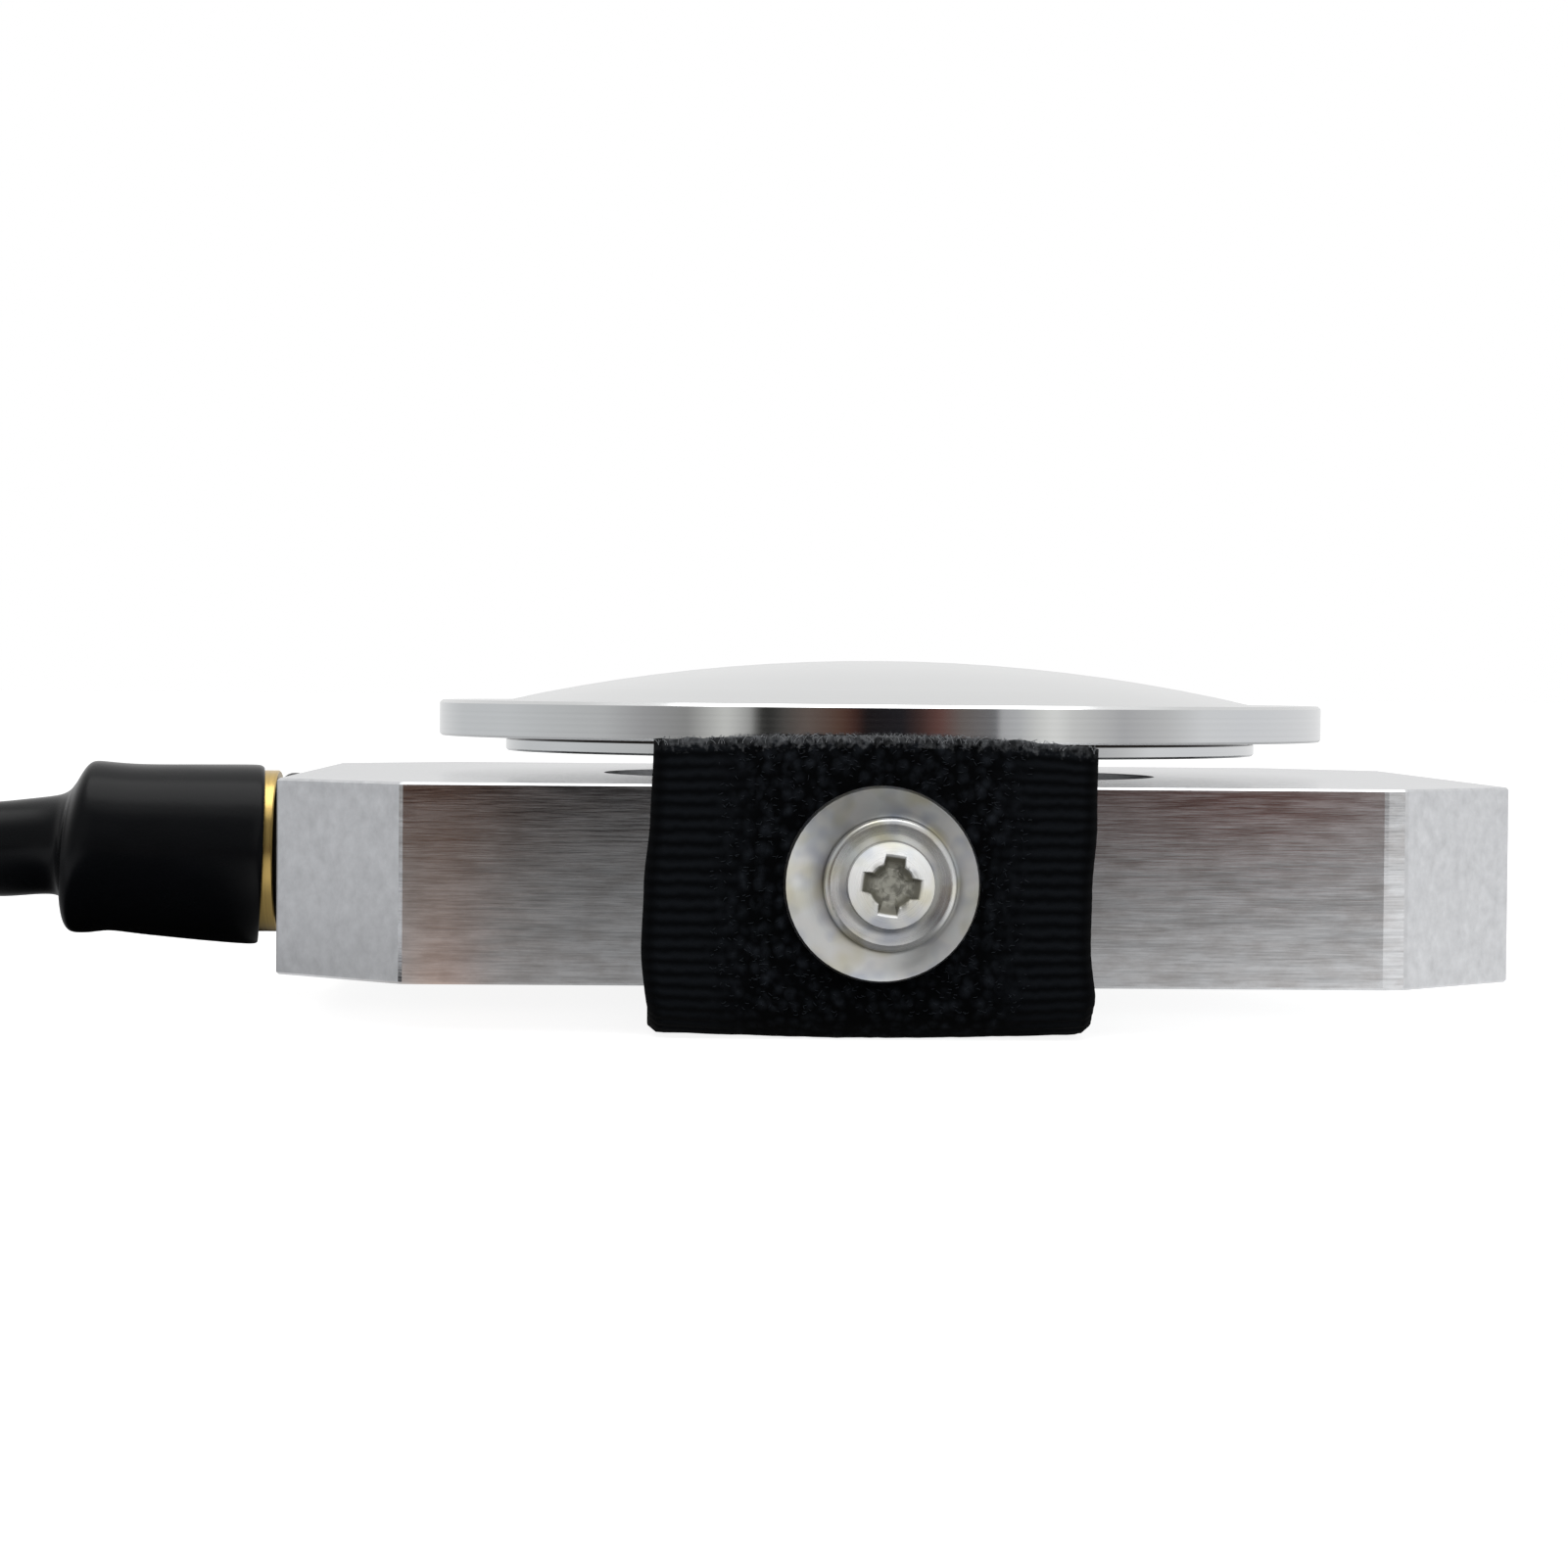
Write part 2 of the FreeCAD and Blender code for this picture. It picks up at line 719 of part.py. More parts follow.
def make_trim_resistors():
    chips = []
    for angle in evenly(GAUGE_COUNT, CHIP_TURN):
        turn = Rotation(Vector(0, 0, 1), angle)
        corner = turn.multVec(Vector(S["chip_circle"].value, -S["chip_length"].value / 2, 0))
        at = (corner.x, corner.y, board_under - S["chip_thick"])
        chips.append(box(S["chip_width"], S["chip_length"], S["chip_thick"], at, turn))
    return group("trim_resistors", chips)


def make_cores():
    """The cable's four cores, side by side from the cable's end to the top of the board."""
    cores = []
    for number, label in enumerate(CORE_NAMES):
        y = S["core_pitch"].value * (number - (len(CORE_NAMES) - 1) / 2)
        landing = -S["core_landing"].value
        points = [
            (core_start.value, y, core_level.value),
            (landing, y, core_level.value),
            (landing, y, board_top.value),
        ]
        cores.append(tube(label, points, S["core_radius"].value))
    return cores


def along_cable(piece):
    """Lays a turned piece along the cable, its base at the gland's inner end."""
    return place(piece, (gland_tip, 0, S["cable_axis"]), TOWARDS_LEFT)


def make_gland():
    cable = S["cable_radius"]
    bore = cable + S["fit_gap"]
    thread, collar, edge = S["gland_thread_radius"], S["gland_radius"], S["gland_edge"]
    grommet_start = gland_back - S["grommet_length"]
    profile = [
        (bore, 0),
        (thread, 0),
        (thread, gland_collar),
        (collar - edge / 2, gland_collar),
        (collar, gland_collar + edge / 2),
        (collar, gland_back - edge),
        (collar - edge, gland_back),
        (S["grommet_radius"], gland_back),
        (S["grommet_radius"], grommet_start),
        (bore, grommet_start),
    ]
    low, bend, seal_outside = S["gland_thread_length"], S["seal_round"], collar - edge
    seal_profile = [
        (thread, low),
        (seal_outside - bend, low),
        (seal_outside, low + bend),
        (seal_outside, gland_collar - bend),
        (seal_outside - bend, gland_collar),
        (thread, gland_collar),
    ]
    seal_arcs = {1: seal_outside - bend, 3: seal_outside - bend}
    return [
        along_cable(turned("gland_body", profile)),
        along_cable(turned("gland_seal", seal_profile, seal_arcs)),
        along_cable(ring("cable_grommet", cable, S["grommet_radius"], grommet_start, gland_back)),
    ]


def make_shrink_boot():
    collar, edge, cable = S["gland_radius"], S["gland_edge"], S["cable_radius"]
    shoulder, bend = S["boot_shoulder_radius"], S["boot_round"]
    profile = [
        (collar, boot_mouth),
        (S["boot_mouth_radius"], boot_mouth),
        (shoulder, boot_mouth + S["boot_shoulder"] - bend),
        (shoulder - bend, boot_mouth + S["boot_shoulder"]),
        (S["boot_neck_radius"], boot_mouth + S["boot_neck"]),
        (S["boot_end_radius"], boot_back),
        (cable, boot_back),
        (cable, gland_back + edge * 2),
        (collar - edge, gland_back),
        (collar, gland_back - edge),
    ]
    return along_cable(turned("shrink_boot", profile))


def make_cable_inner():
    start = gland_tip - core_start
    return along_cable(turned("cable_inner", [
        (0, start),
        (S["cable_radius"], start),
        (S["cable_radius"], boot_back),
        (0, boot_back),
    ]))


def make_coil():
    """The outer shape of the tied turns, with rounded edges."""
    bend = S["cable_radius"]
    low, high = S["coil_lift"], coil_top
    points = [
        (coil_inside + bend, low),
        (coil_outside - bend, low),
        (coil_outside, low + bend),
        (coil_outside, high - bend),
        (coil_outside - bend, high),
        (coil_inside + bend, high),
        (coil_inside, high - bend),
        (coil_inside, low + bend),
    ]
    outer, inner = coil_outside - bend, coil_inside + bend
    arcs = {1: outer, 3: outer, 5: inner, 7: inner}
    return place(turned("cable_coil", points, arcs), (S["coil_x"], S["coil_y"], 0))


def make_coil_ties():
    """Flat bands round the bundle of turns."""
    thick, room, width = S["tie_thick"], S["tie_room"], S["tie_width"]
    inside = coil_inside - S["tie_inside_room"]
    span = coil_outside + room - inside
    tall = coil_top - S["coil_lift"] + room
    ties = []
    for angle in TIE_ANGLES:
        turn = Rotation(Vector(0, 0, 1), angle)
        outer_corner = turn.multVec(Vector((inside - thick).value, -width.value / 2, 0))
        inner_corner = turn.multVec(Vector(inside.value, -width.value, 0))
        at = (S["coil_x"] + outer_corner.x, S["coil_y"] + outer_corner.y, 0)
        hole_at = (S["coil_x"] + inner_corner.x, S["coil_y"] + inner_corner.y, thick)
        band = box(span + thick * 2, width, tall + thick * 2, at, turn)
        ties.append(cut("tie", band, [box(span, width * 2, tall, hole_at, turn)]))
    return group("coil_ties", ties)


def along_plug(piece):
    return place(piece, (S["plug_x"], S["plug_y"], S["plug_z"]), TOWARDS_FRONT)


def make_plug():
    """Moulded round plug: grip with strain relief, metal shell, insulator and five pins."""
    edge, grip, shell = S["grip_edge"], S["grip_radius"], S["shell_radius"]
    inside = shell - S["shell_thick"]
    root = shell - S["shell_step"]
    grip_start = S["relief_length"]
    grip_profile = [
        (0, 0),
        (S["relief_start_radius"], 0),
        (S["relief_end_radius"], grip_start),
        (grip - edge, grip_start),
        (grip, grip_start + edge),
        (grip, grip_back - edge),
        (grip - edge, grip_back),
        (root, grip_back),
        (root, shell_start),
        (0, shell_start),
    ]
    shell_profile = [
        (inside, shell_start),
        (root, shell_start),
        (root, grip_back),
        (shell, grip_back),
        (shell, shell_start + S["shell_length"]),
        (inside, shell_start + S["shell_length"]),
    ]
    insert_end = shell_start + S["insert_length"]
    insert_profile = [(0, shell_start), (inside, shell_start), (inside, insert_end), (0, insert_end)]
    blank = along_plug(turned("insert_blank", insert_profile))
    pins, holes = [], []
    for angle in PIN_ANGLES:
        x, y = around(S["pin_circle"], angle)
        at = (S["plug_x"] + x, S["plug_y"] - shell_start, S["plug_z"] + y)
        pins.append(cylinder(S["pin_radius"], S["pin_length"], at, TOWARDS_FRONT))
        holes.append(cylinder(S["pin_radius"], S["pin_length"], at, TOWARDS_FRONT))
    return [
        along_plug(turned("plug_grip", grip_profile)),
        along_plug(turned("plug_shell", shell_profile)),
        cut("plug_insert", blank, holes),
        group("plug_pins", pins),
    ]


def strap_hole(side):
    turn = TOWARDS_FRONT if side < 0 else TOWARDS_BACK
    at = (S["strap_screw_shift"], (S["block_width"] / 2 - CUT_PAST) * side, strap_screw_level)
    radius = S["strap_screw_radius"] + S["fit_gap"] * 2
    return cylinder(radius, S["strap_thick"] + CUT_PAST * 2, at, turn)


def make_front_strap():
    """Down the front, round the lower edge and back under the rear strap."""
    thick, top = S["strap_thick"], S["strap_top"]
    face, bend = block_front, S["strap_thick"]
    points = [
        (face, top),
        (face - thick, top),
        (face - thick, thick + bend),
        (face + bend, 0),
        (S["front_tail"], 0),
        (S["front_tail"], thick),
        (face + bend, thick),
        (face, thick + bend),
    ]
    blank = folded("front_strap_blank", points, {2: face + bend, 6: face + bend}, S["strap_width"])
    place(blank, (S["strap_shift"], 0, 0))
    return cut("front_strap", blank, [strap_hole(-1)])


def make_rear_strap():
    """Down the back, round the lower edge and forward under the block."""
    thick, top, bend = S["strap_thick"], S["strap_top"], S["rear_bend"]
    face = S["block_width"] / 2
    under = block_base
    points = [
        (face, top),
        (face, under),
        (-S["rear_tail"], under),
        (-S["rear_tail"], under - thick),
        (face - bend, under - thick),
        (face + thick, under + bend),
        (face + thick, top),
    ]
    blank = folded("rear_strap_blank", points, {4: face - bend}, S["strap_width"])
    place(blank, (S["strap_shift"], 0, 0))
    return cut("rear_strap", blank, [strap_hole(1)])


def stacked(piece, side, height, shift):
    """Sets a turned piece on the strap's outer face, with its axis pointing away from the block."""
    turn = TOWARDS_FRONT if side < 0 else TOWARDS_BACK
    face = S["block_width"] / 2 + S["strap_thick"] + height
    return place(piece, (shift, face * side, strap_screw_level), turn)


def recess_wing(span, width, at, turn):
    """One tapered slot of a cross recess, sunk along Y."""
    wing = doc.addObject("Part::Wedge", "wing")
    for axis, wide in (("X", span), ("Z", width)):
        for end, sign in (("min", -1), ("max", 1)):
            bind(wing, f"{axis}{end}", wide * sign / 2)
            bind(wing, f"{axis}2{end}", wide * sign * RECESS_TAPER / 2)
    bind(wing, "Ymin", 0)
    bind(wing, "Ymax", S["recess_depth"])
    return place(wing, at, turn)


def strap_screw(side):
    """Pan-head screw with a cross recess, from the washers into the block."""
    seat = S["cup_thick"] + S["washer_lift"] + S["washer_thick"] - S["washer_step"]
    radius, pan = S["strap_screw_radius"], S["pan_radius"]
    shank = S["strap_screw_length"] + S["strap_thick"] + seat
    top = shank + S["pan_height"]
    points = [(0, 0), (radius, 0), (radius, shank), (pan, shank), (pan, shank + S["pan_side"]), (0, top)]
    x = S["strap_screw_shift"]
    blank = stacked(turned("pan_screw", points, {4: 0}), side, seat - shank, x)
    depth, span, width, core = S["recess_depth"], S["recess_span"], S["recess_width"], S["recess_core"]
    outside = S["block_width"] / 2 + S["strap_thick"] + seat + S["pan_height"]
    at = (x, outside * side, strap_screw_level)
    inward = Rotation(Vector(0, 0, 1), 0 if side < 0 else 180)
    turn = inward.multiply(Rotation(Vector(0, 1, 0), RECESS_TURN))
    tools = [
        recess_wing(span, width, at, turn),
        recess_wing(width, span, at, turn),
        cone(core, core * RECESS_TAPER, depth, at, TOWARDS_BACK if side < 0 else TOWARDS_FRONT),
    ]
    return cut("cross_screw", blank, tools)


def cup_washer(side):
    """Dished washer whose lip stands off the webbing."""
    thick, lip, radius, floor = S["cup_thick"], S["cup_lip"], S["cup_radius"], S["cup_floor_radius"]
    points = [
        (S["cup_hole_radius"], 0),
        (floor, 0),
        (radius, lip),
        (radius - thick / 4, lip + thick),
        (floor - thick / 4, thick),
        (S["cup_hole_radius"], thick),
    ]
    dish = {1: floor, 3: floor - thick / 4}
    return stacked(turned("cup", points, dish), side, 0, S["cup_shift"])


def flat_washer(side):
    """Small washer with a rounded lip, held off centre in the hollow of the dished one."""
    thick, step, round_off = S["washer_thick"], S["washer_step"], S["washer_round"]
    hole, radius = S["strap_screw_radius"] + S["fit_gap"], S["washer_radius"]
    points = [
        (hole, 0),
        (radius, 0),
        (radius, thick - round_off),
        (radius - round_off, thick),
        (S["washer_floor_radius"], thick - step),
        (hole, thick - step),
    ]
    blank = turned("flat", points, {2: radius - round_off})
    return stacked(blank, side, S["cup_thick"] + S["washer_lift"], S["strap_screw_shift"])


def make_strap_fasteners():
    sides = (-1, 1)
    return [
        group("strap_screws", [strap_screw(side) for side in sides]),
        group("cup_washers", [cup_washer(side) for side in sides]),
        group("flat_washers", [flat_washer(side) for side in sides]),
    ]


def make_parts():
    parts = [
        make_body_block(),
        make_load_flange(),
        make_foot_disc(),
        make_cap_screws(),
        make_hub_screw(),
        make_hub_dowels(),
        make_bottom_cover(),
        make_cover_gasket(),
        make_cover_screws(),
        make_bridge_board(),
        make_trim_resistors(),
        make_shrink_boot(),
        make_cable_inner(),
        make_coil(),
        make_coil_ties(),
        make_front_strap(),
        make_rear_strap(),
    ]
    parts += make_gauges() + make_cores() + make_gland() + make_plug() + make_strap_fasteners()
    parts.append(tube("cable_run", RUN_POINTS, S["cable_radius"].value))
    parts.append(tube("cable_tail", TAIL_POINTS, S["cable_radius"].value))
    return parts


def check_document(parts):
    for thing in doc.Objects:
        if "Invalid" in thing.State or "Error" in thing.State:
            raise ValueError(f"{thing.Label} failed: {thing.State}")
    for part in parts:
        if part.Shape.isNull() or not part.Shape.isValid():
            raise ValueError(f"{part.Label} has no valid shape")


def write_parts(parts):
    os.makedirs("parts", exist_ok=True)
    for part in parts:
        part.Shape.exportStep(f"parts/{part.Label}.step")
        print(part.Label, "solids", len(part.Shape.Solids), "volume", round(part.Shape.Volume, 2))


all_parts = make_parts()
doc.recompute()
check_document(all_parts)
write_parts(all_parts)
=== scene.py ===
"""Brake pedal load cell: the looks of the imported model, its webbing straps, boot and put-away cable."""

import collections
import json
import math
import random

import bmesh
import bpy
from mathutils import Matrix, Vector, noise

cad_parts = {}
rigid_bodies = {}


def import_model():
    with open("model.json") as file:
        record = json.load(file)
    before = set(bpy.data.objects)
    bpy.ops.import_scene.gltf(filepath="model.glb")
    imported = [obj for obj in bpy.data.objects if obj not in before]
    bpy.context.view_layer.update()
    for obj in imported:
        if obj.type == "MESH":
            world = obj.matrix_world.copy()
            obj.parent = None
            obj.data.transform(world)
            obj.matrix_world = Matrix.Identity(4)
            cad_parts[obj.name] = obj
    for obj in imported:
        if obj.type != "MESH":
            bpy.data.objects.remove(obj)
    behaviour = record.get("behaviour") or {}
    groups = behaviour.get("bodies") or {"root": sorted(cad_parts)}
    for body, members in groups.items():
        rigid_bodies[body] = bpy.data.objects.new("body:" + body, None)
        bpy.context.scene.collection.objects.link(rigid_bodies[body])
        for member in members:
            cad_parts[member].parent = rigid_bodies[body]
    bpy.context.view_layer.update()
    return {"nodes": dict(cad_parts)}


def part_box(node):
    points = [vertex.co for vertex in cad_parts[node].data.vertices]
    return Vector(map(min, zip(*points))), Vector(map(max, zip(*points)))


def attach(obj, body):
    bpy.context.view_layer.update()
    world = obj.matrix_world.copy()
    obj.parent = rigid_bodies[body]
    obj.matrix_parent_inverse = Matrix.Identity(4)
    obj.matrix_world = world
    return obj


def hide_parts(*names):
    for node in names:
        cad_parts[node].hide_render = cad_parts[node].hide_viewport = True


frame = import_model()

bl_info = {
    "name": "Brake pedal load cell",
    "version": (1, 0, 0),
    "blender": (4, 5, 0),
    "location": "View3D > Sidebar > Load cell",
    "description": "Finishes the packed load cell with its metal, webbing, boot and cable",
    "category": "Object",
}

MM = 0.001
WHITE = (1, 1, 1, 1)
# The photograph's viewpoint: its place in metres and its turn in degrees about X, Y and Z.
CAMERA_PLACE = (-0.01353, -0.28414, 0.02167)
CAMERA_TURN = (88.611, -0.474, -1.409)
# The block's front face, the round studio that only polished surfaces see, and the floor, in metres.
FRONT_FACE = -0.0325
ROOM_RADIUS, ROOM_HEIGHT, ROOM_SIDES = 0.36, 1.5, 144
FLOOR_HALF = 6.0
# A studio card shows its own tones, whatever light falls on it.
CARD = {"Base Color": (0, 0, 0, 1), "Specular IOR Level": 0.0, "Emission Strength": 1.0}
# The groove between flange and foot plate, in millimetres.
GROOVE_HEIGHT, GROOVE_HALF, GROOVE_RADIUS = 17.86, 0.17, 25.45
# Axes of the strap screws and of their cup washers, x and height in millimetres, and the dome of
# the screw's head: its distance from the part's middle and its fall for each square millimetre.
SCREW_AXIS, CUP_AXIS = (-0.9, 9.62), (-1.4, 9.62)
SCREW_DOME = (37.125, 0.1036)
# A strap's UV map counts in tenths of a metre, so that it stays between 0 and 1.
UV_UNIT = 0.1

# The cable's route in millimetres, from the part's source: out of the boot, and from coil to plug.
RUN_POINTS = [(-63.5, 0.0, 9.95), (-73.0, 0.0, 9.95), (-82.2, -3.0, 9.2), (-90.6, -8.0, 7.75)]
TAIL_POINTS = [(-133.4, 47.0, 16.8), (-122.0, 56.5, 17.1), (-107.3, 58.4, 18.0),
               (-93.8, 52.2, 19.4), (-85.8, 39.6, 20.5), (-85.8, 24.8, 20.5)]
COIL_CENTRE = (-109.8, 25.2)
COIL_INNER = 20.25
COIL_FLOOR = 3.25
COIL_PITCH = 4.5
# Column from the inside and layer from the floor, in the order in which the cable fills them.
COIL_CELLS = [(4, 2), (4, 1), (3, 1), (3, 2), (2, 2), (2, 1),
              (1, 1), (1, 2), (1, 3), (2, 3), (3, 3), (4, 3)]
COIL_START = -60.0
COIL_TURNS = 11.45
COIL_STEPS = 24
TIE_ANGLES = (165.0, 255.0)

# A strap hangs down its face, turns under the block and runs to its tail; sizes in millimetres.
Strap = collections.namedtuple("Strap", "node side bend base")
STRAPS = (Strap("front_strap", -1, 3.25, 0.0), Strap("rear_strap", 1, 1.925, 1.625))
STRAP_THICK, STRAP_HALF = 1.625, 13.5
# Columns of its grid, and the distance between the grid's rows.
STRAP_COLUMNS, STRAP_ROW = 54, 0.15
# The pile's half width and its ends along the strap; the fray's half width and number of tufts.
PILE_HALF, PILE_ENDS = 9.5, (0.4, 17.0)
FRAY_HALF, FRAY_TUFTS = 13.0, 30
# Hole in the webbing, from the screw's axis; the washer covers it.
STRAP_HOLE = 2.3
# Sideways sway and full width of the webbing at distances from its top end.
STRAP_SWAY = ((0, 0.3), (5, 0.2), (9.3, -0.12), (12.8, -0.21), (17, 0.1), (19, 0.15), (26, 0.0))
STRAP_SPAN = ((0, 26.9), (9, 27.15), (16, 27.3), (18.6, 26.9), (26, 27.0))

# The boot's rings in millimetres, out along its inside, back over the outside and in at the cable:
# x and height of the ring's top, x and height of its bottom, and its half width.
BOOT_RINGS = (
    (-54.2, 12.25, -54.2, 7.65, 2.3), (-53.4, 15.0, -53.4, 4.9, 5.05),
    (-52.9, 15.5, -52.9, 4.5, 5.55), (-52.2, 15.5, -52.2, 4.45, 5.55),
    (-44.5, 15.5, -44.5, 4.4, 5.55), (-42.3, 15.5, -42.7, 4.4, 5.55),
    (-41.97, 15.56, -42.4, 4.08, 5.74),
    (-41.92, 15.62, -42.35, 3.72, 6.0), (-42.1, 15.82, -42.5, 3.58, 6.17),
    (-42.6, 15.86, -43.2, 3.57, 6.22), (-45.0, 15.84, -45.0, 3.7, 6.16),
    (-48.0, 15.82, -47.8, 3.94, 6.02), (-50.5, 15.82, -50.4, 4.19, 5.94),
    (-51.8, 15.9, -51.8, 4.4, 5.92), (-53.0, 16.02, -52.8, 4.44, 5.92),
    (-53.6, 16.04, -53.6, 4.29, 5.87), (-54.0, 15.64, -54.6, 4.24, 5.72),
    (-54.35, 15.04, -55.15, 4.34, 5.42), (-54.55, 14.7, -55.42, 4.7, 5.15),
    (-54.75, 14.42, -55.54, 5.2, 5.05), (-54.95, 14.18, -55.56, 5.75, 4.6),
    (-55.2, 13.95, -55.56, 6.35, 4.52), (-55.6, 13.74, -55.7, 6.74, 4.05),
    (-56.3, 13.6, -56.4, 6.92, 3.75), (-58.0, 13.4, -58.0, 6.82, 3.45),
    (-60.0, 13.16, -60.0, 6.64, 3.25), (-62.8, 13.05, -62.8, 6.8, 3.13),
    (-63.4, 13.0, -63.4, 6.85, 3.08),
    (-63.5, 12.7, -63.5, 7.2, 2.75), (-63.3, 12.2, -63.3, 7.7, 2.25), (-62.0, 12.2, -62.0, 7.7, 2.25),
)
# The mouth was cut by hand: its near side reaches further over the brass.
BOOT_CUT = 0.115

# The moulded grip and its ringed strain relief, in millimetres: way along from the cable and radius.
GRIP_START = (-85.8, 24.8, 20.5)
GRIP_GROOVES = [(at + step, radius) for at in (11.4, 13.6, 15.8, 18.0)
                for step, radius in ((0, 6.0), (0.2, 5.6), (0.9, 5.6), (1.1, 6.0))]
GRIP_OUTLINE = (
    (0, 0), (0, 2.75), (0.25, 2.95), (1.0, 3.0), (1.15, 2.6), (1.75, 2.6), (1.9, 3.12),
    (2.9, 3.2), (3.05, 2.7), (3.65, 2.7), (3.8, 3.35), (4.8, 3.45), (4.95, 2.85), (5.55, 2.85),
    (5.7, 3.6), (7.4, 3.85), (8.0, 4.3), (8.5, 5.3), (9.1, 5.85), (10.0, 6.0), *GRIP_GROOVES,
    (25.4, 6.0), (25.85, 5.85), (26.0, 5.5), (26.0, 4.52), (24.0, 4.52), (24.0, 0),
)


def linear(hex_code):
    """A colour written as sRGB hex, as the linear numbers that the shaders use."""
    parts = [int(hex_code[at:at + 2], 16) / 255 for at in (0, 2, 4)]
    return [p / 12.92 if p <= 0.04045 else ((p + 0.055) / 1.055) ** 2.4 for p in parts]


def colour_choice(label, text, hex_code):
    """A colour that the user can change."""
    return bpy.props.FloatVectorProperty(
        name=label, description=text, subtype="COLOR", size=3, min=0, max=1,
        default=linear(hex_code))


def size_choice(label, text, default):
    """A length that the user can change, given in millimetres."""
    return bpy.props.FloatProperty(
        name=label, description=text, unit="LENGTH", precision=5, min=0, default=default * MM)


def count_choice(label, text, default):
    """A number of like things that the user can change."""
    return bpy.props.IntProperty(name=label, description=text, min=0, default=default)


class LoadCellSizes(bpy.types.PropertyGroup):
    """Sizes and counts of the webbing, the cable and the coil's ties."""

    rib_pitch: size_choice("Rib pitch", "Distance between ribs on the webbing's plain edges", 0.8)
    rib_depth: size_choice("Rib depth", "Depth of the webbing's ribs and pile", 0.1)
    plain_edge: size_choice("Plain edge", "Width of the webbing's plain ribbed edges", 5.0)
    pile_loops: count_choice("Pile loops", "Loops standing on the face of each strap", 1100)
    fray_fibres: count_choice("Fray fibres", "Loose fibres along the top end of each strap", 520)
    fibre: size_choice("Fibre", "Thickness of a loose fibre", 0.05)
    cable: size_choice("Cable", "Diameter of the cable's sheath", 4.5)
    tie_width: size_choice("Tie width", "Width of the ties round the coil", 6.0)
    tie_thick: size_choice("Tie thickness", "Thickness of the ties round the coil", 0.95)


class LoadCellColours(bpy.types.PropertyGroup):
    """Colours of the finishes."""

    billet: colour_choice("Billet", "Brushed aluminium of the block", "d4d5d7")
    turned: colour_choice("Turned", "Turned aluminium of the foot plate", "dcdddd")
    zinc: colour_choice("Zinc", "Bright zinc on the screws and washers", "e8e7e5")
    brass: colour_choice("Brass", "Turned brass of the gland", "c8ab68")
    webbing: colour_choice("Webbing", "Black webbing", "0d0f12")
    fray: colour_choice("Fray", "Worn fibre ends of the webbing", "727477")
    sleeve: colour_choice("Sleeve", "Heat-shrink sleeve", "060709")
    sheath: colour_choice("Sheath", "Cable sheath", "0e0e10")
    plug: colour_choice("Plug", "Moulded plug", "17171a")
    board: colour_choice("Board", "Circuit board's lacquer", "1f5a38")
    floor: colour_choice("Floor", "Pale floor", "f2f2f2")


def feed(node, inputs):
    """Sets a node's inputs, by name or number from a dict or in their own order from a list.

    One that is given a node or a socket is linked to what that puts out.
    """
    for name, value in inputs.items() if isinstance(inputs, dict) else enumerate(inputs):
        if isinstance(value, bpy.types.Node):
            value = next(socket for socket in value.outputs if socket.enabled)
        if isinstance(value, bpy.types.NodeSocket):
            node.id_data.links.new(value, node.inputs[name])
        else:
            node.inputs[name].default_value = value


def adder(tree):
    """Empties a node tree and gives the function that adds a node to it."""
    tree.nodes.clear()

    def add(kind, inputs=(), operation=None, **settings):
        """One node with its settings and links.

        A map range lists its value, the two ends that this runs between and the two it is given.
        """
        made = tree.nodes.new("ShaderNode" + kind)
        if operation:
            made.operation = operation
        for name, value in settings.items():
            setattr(made, name, value)
        feed(made, inputs)
        return made

    return add


def start(name, inputs=()):
    """A new material: itself, what adds its nodes, its shader with some inputs, its coordinates."""
    material = bpy.data.materials.new(name)
    material.use_nodes = True
    add = adder(material.node_tree)
    shader = add("BsdfPrincipled", inputs)
    add("OutputMaterial", {"Surface": shader})
    return material, add, shader, add("TexCoord").outputs


def shade(colour, factor):
    """A colour made darker or lighter, ready for a colour socket."""
    return [min(1.0, part * factor) for part in colour] + [1.0]


def finish_surface(add, shader, pattern, colours, roughness, depth):
    """Colour, roughness and bump of a surface from one pattern that runs from 0 to 1."""
    low, high = roughness
    feed(shader, {
        "Base Color": add("Mix", {0: pattern, 6: colours[0], 7: colours[1]}, data_type="RGBA"),
        "Roughness": add("MapRange", [pattern, 0.0, 1.0, low, high]),
        "Normal": add("Bump", {"Height": pattern, "Strength": 1.0, "Distance": depth})})


def grain(add, place, sizes, detail):
    """Noise whose spots have one size, or three along X, Y and Z, in millimetres."""
    scale = [1 / (size * MM) for size in (sizes if isinstance(sizes, tuple) else [sizes] * 3)]
    fit = add("Mapping", {"Vector": place["Object"], "Scale": scale})
    return add("TexNoise", {"Vector": fit, "Scale": 1.0, "Detail": detail, "Roughness": 0.6})


def facing(add, place, axis, limit):
    """1 where the surface looks along an axis of the object, either way, and 0 elsewhere."""
    along = add("SeparateXYZ", {"Vector": place["Normal"]}).outputs[axis]
    size = add("Math", [along], "ABSOLUTE")
    return add("Math", [size, limit], "GREATER_THAN")


def roughen(add, shader, mask, amount):
    """More roughness where the mask is 1."""
    before = shader.inputs["Roughness"].links[0].from_socket
    more = add("Math", [mask, amount, before], "MULTIPLY_ADD")
    feed(shader, {"Roughness": more})


def stain(add, shader, colour, first, second=1.0):
    """Another base colour where both masks are 1."""
    before = shader.inputs["Base Color"].links[0].from_socket
    mask = add("Math", [first, second], "MULTIPLY")
    mixed = add("Mix", {0: mask, 6: before, 7: [*colour[:3], 1.0]}, data_type="RGBA")
    feed(shader, {"Base Color": mixed})


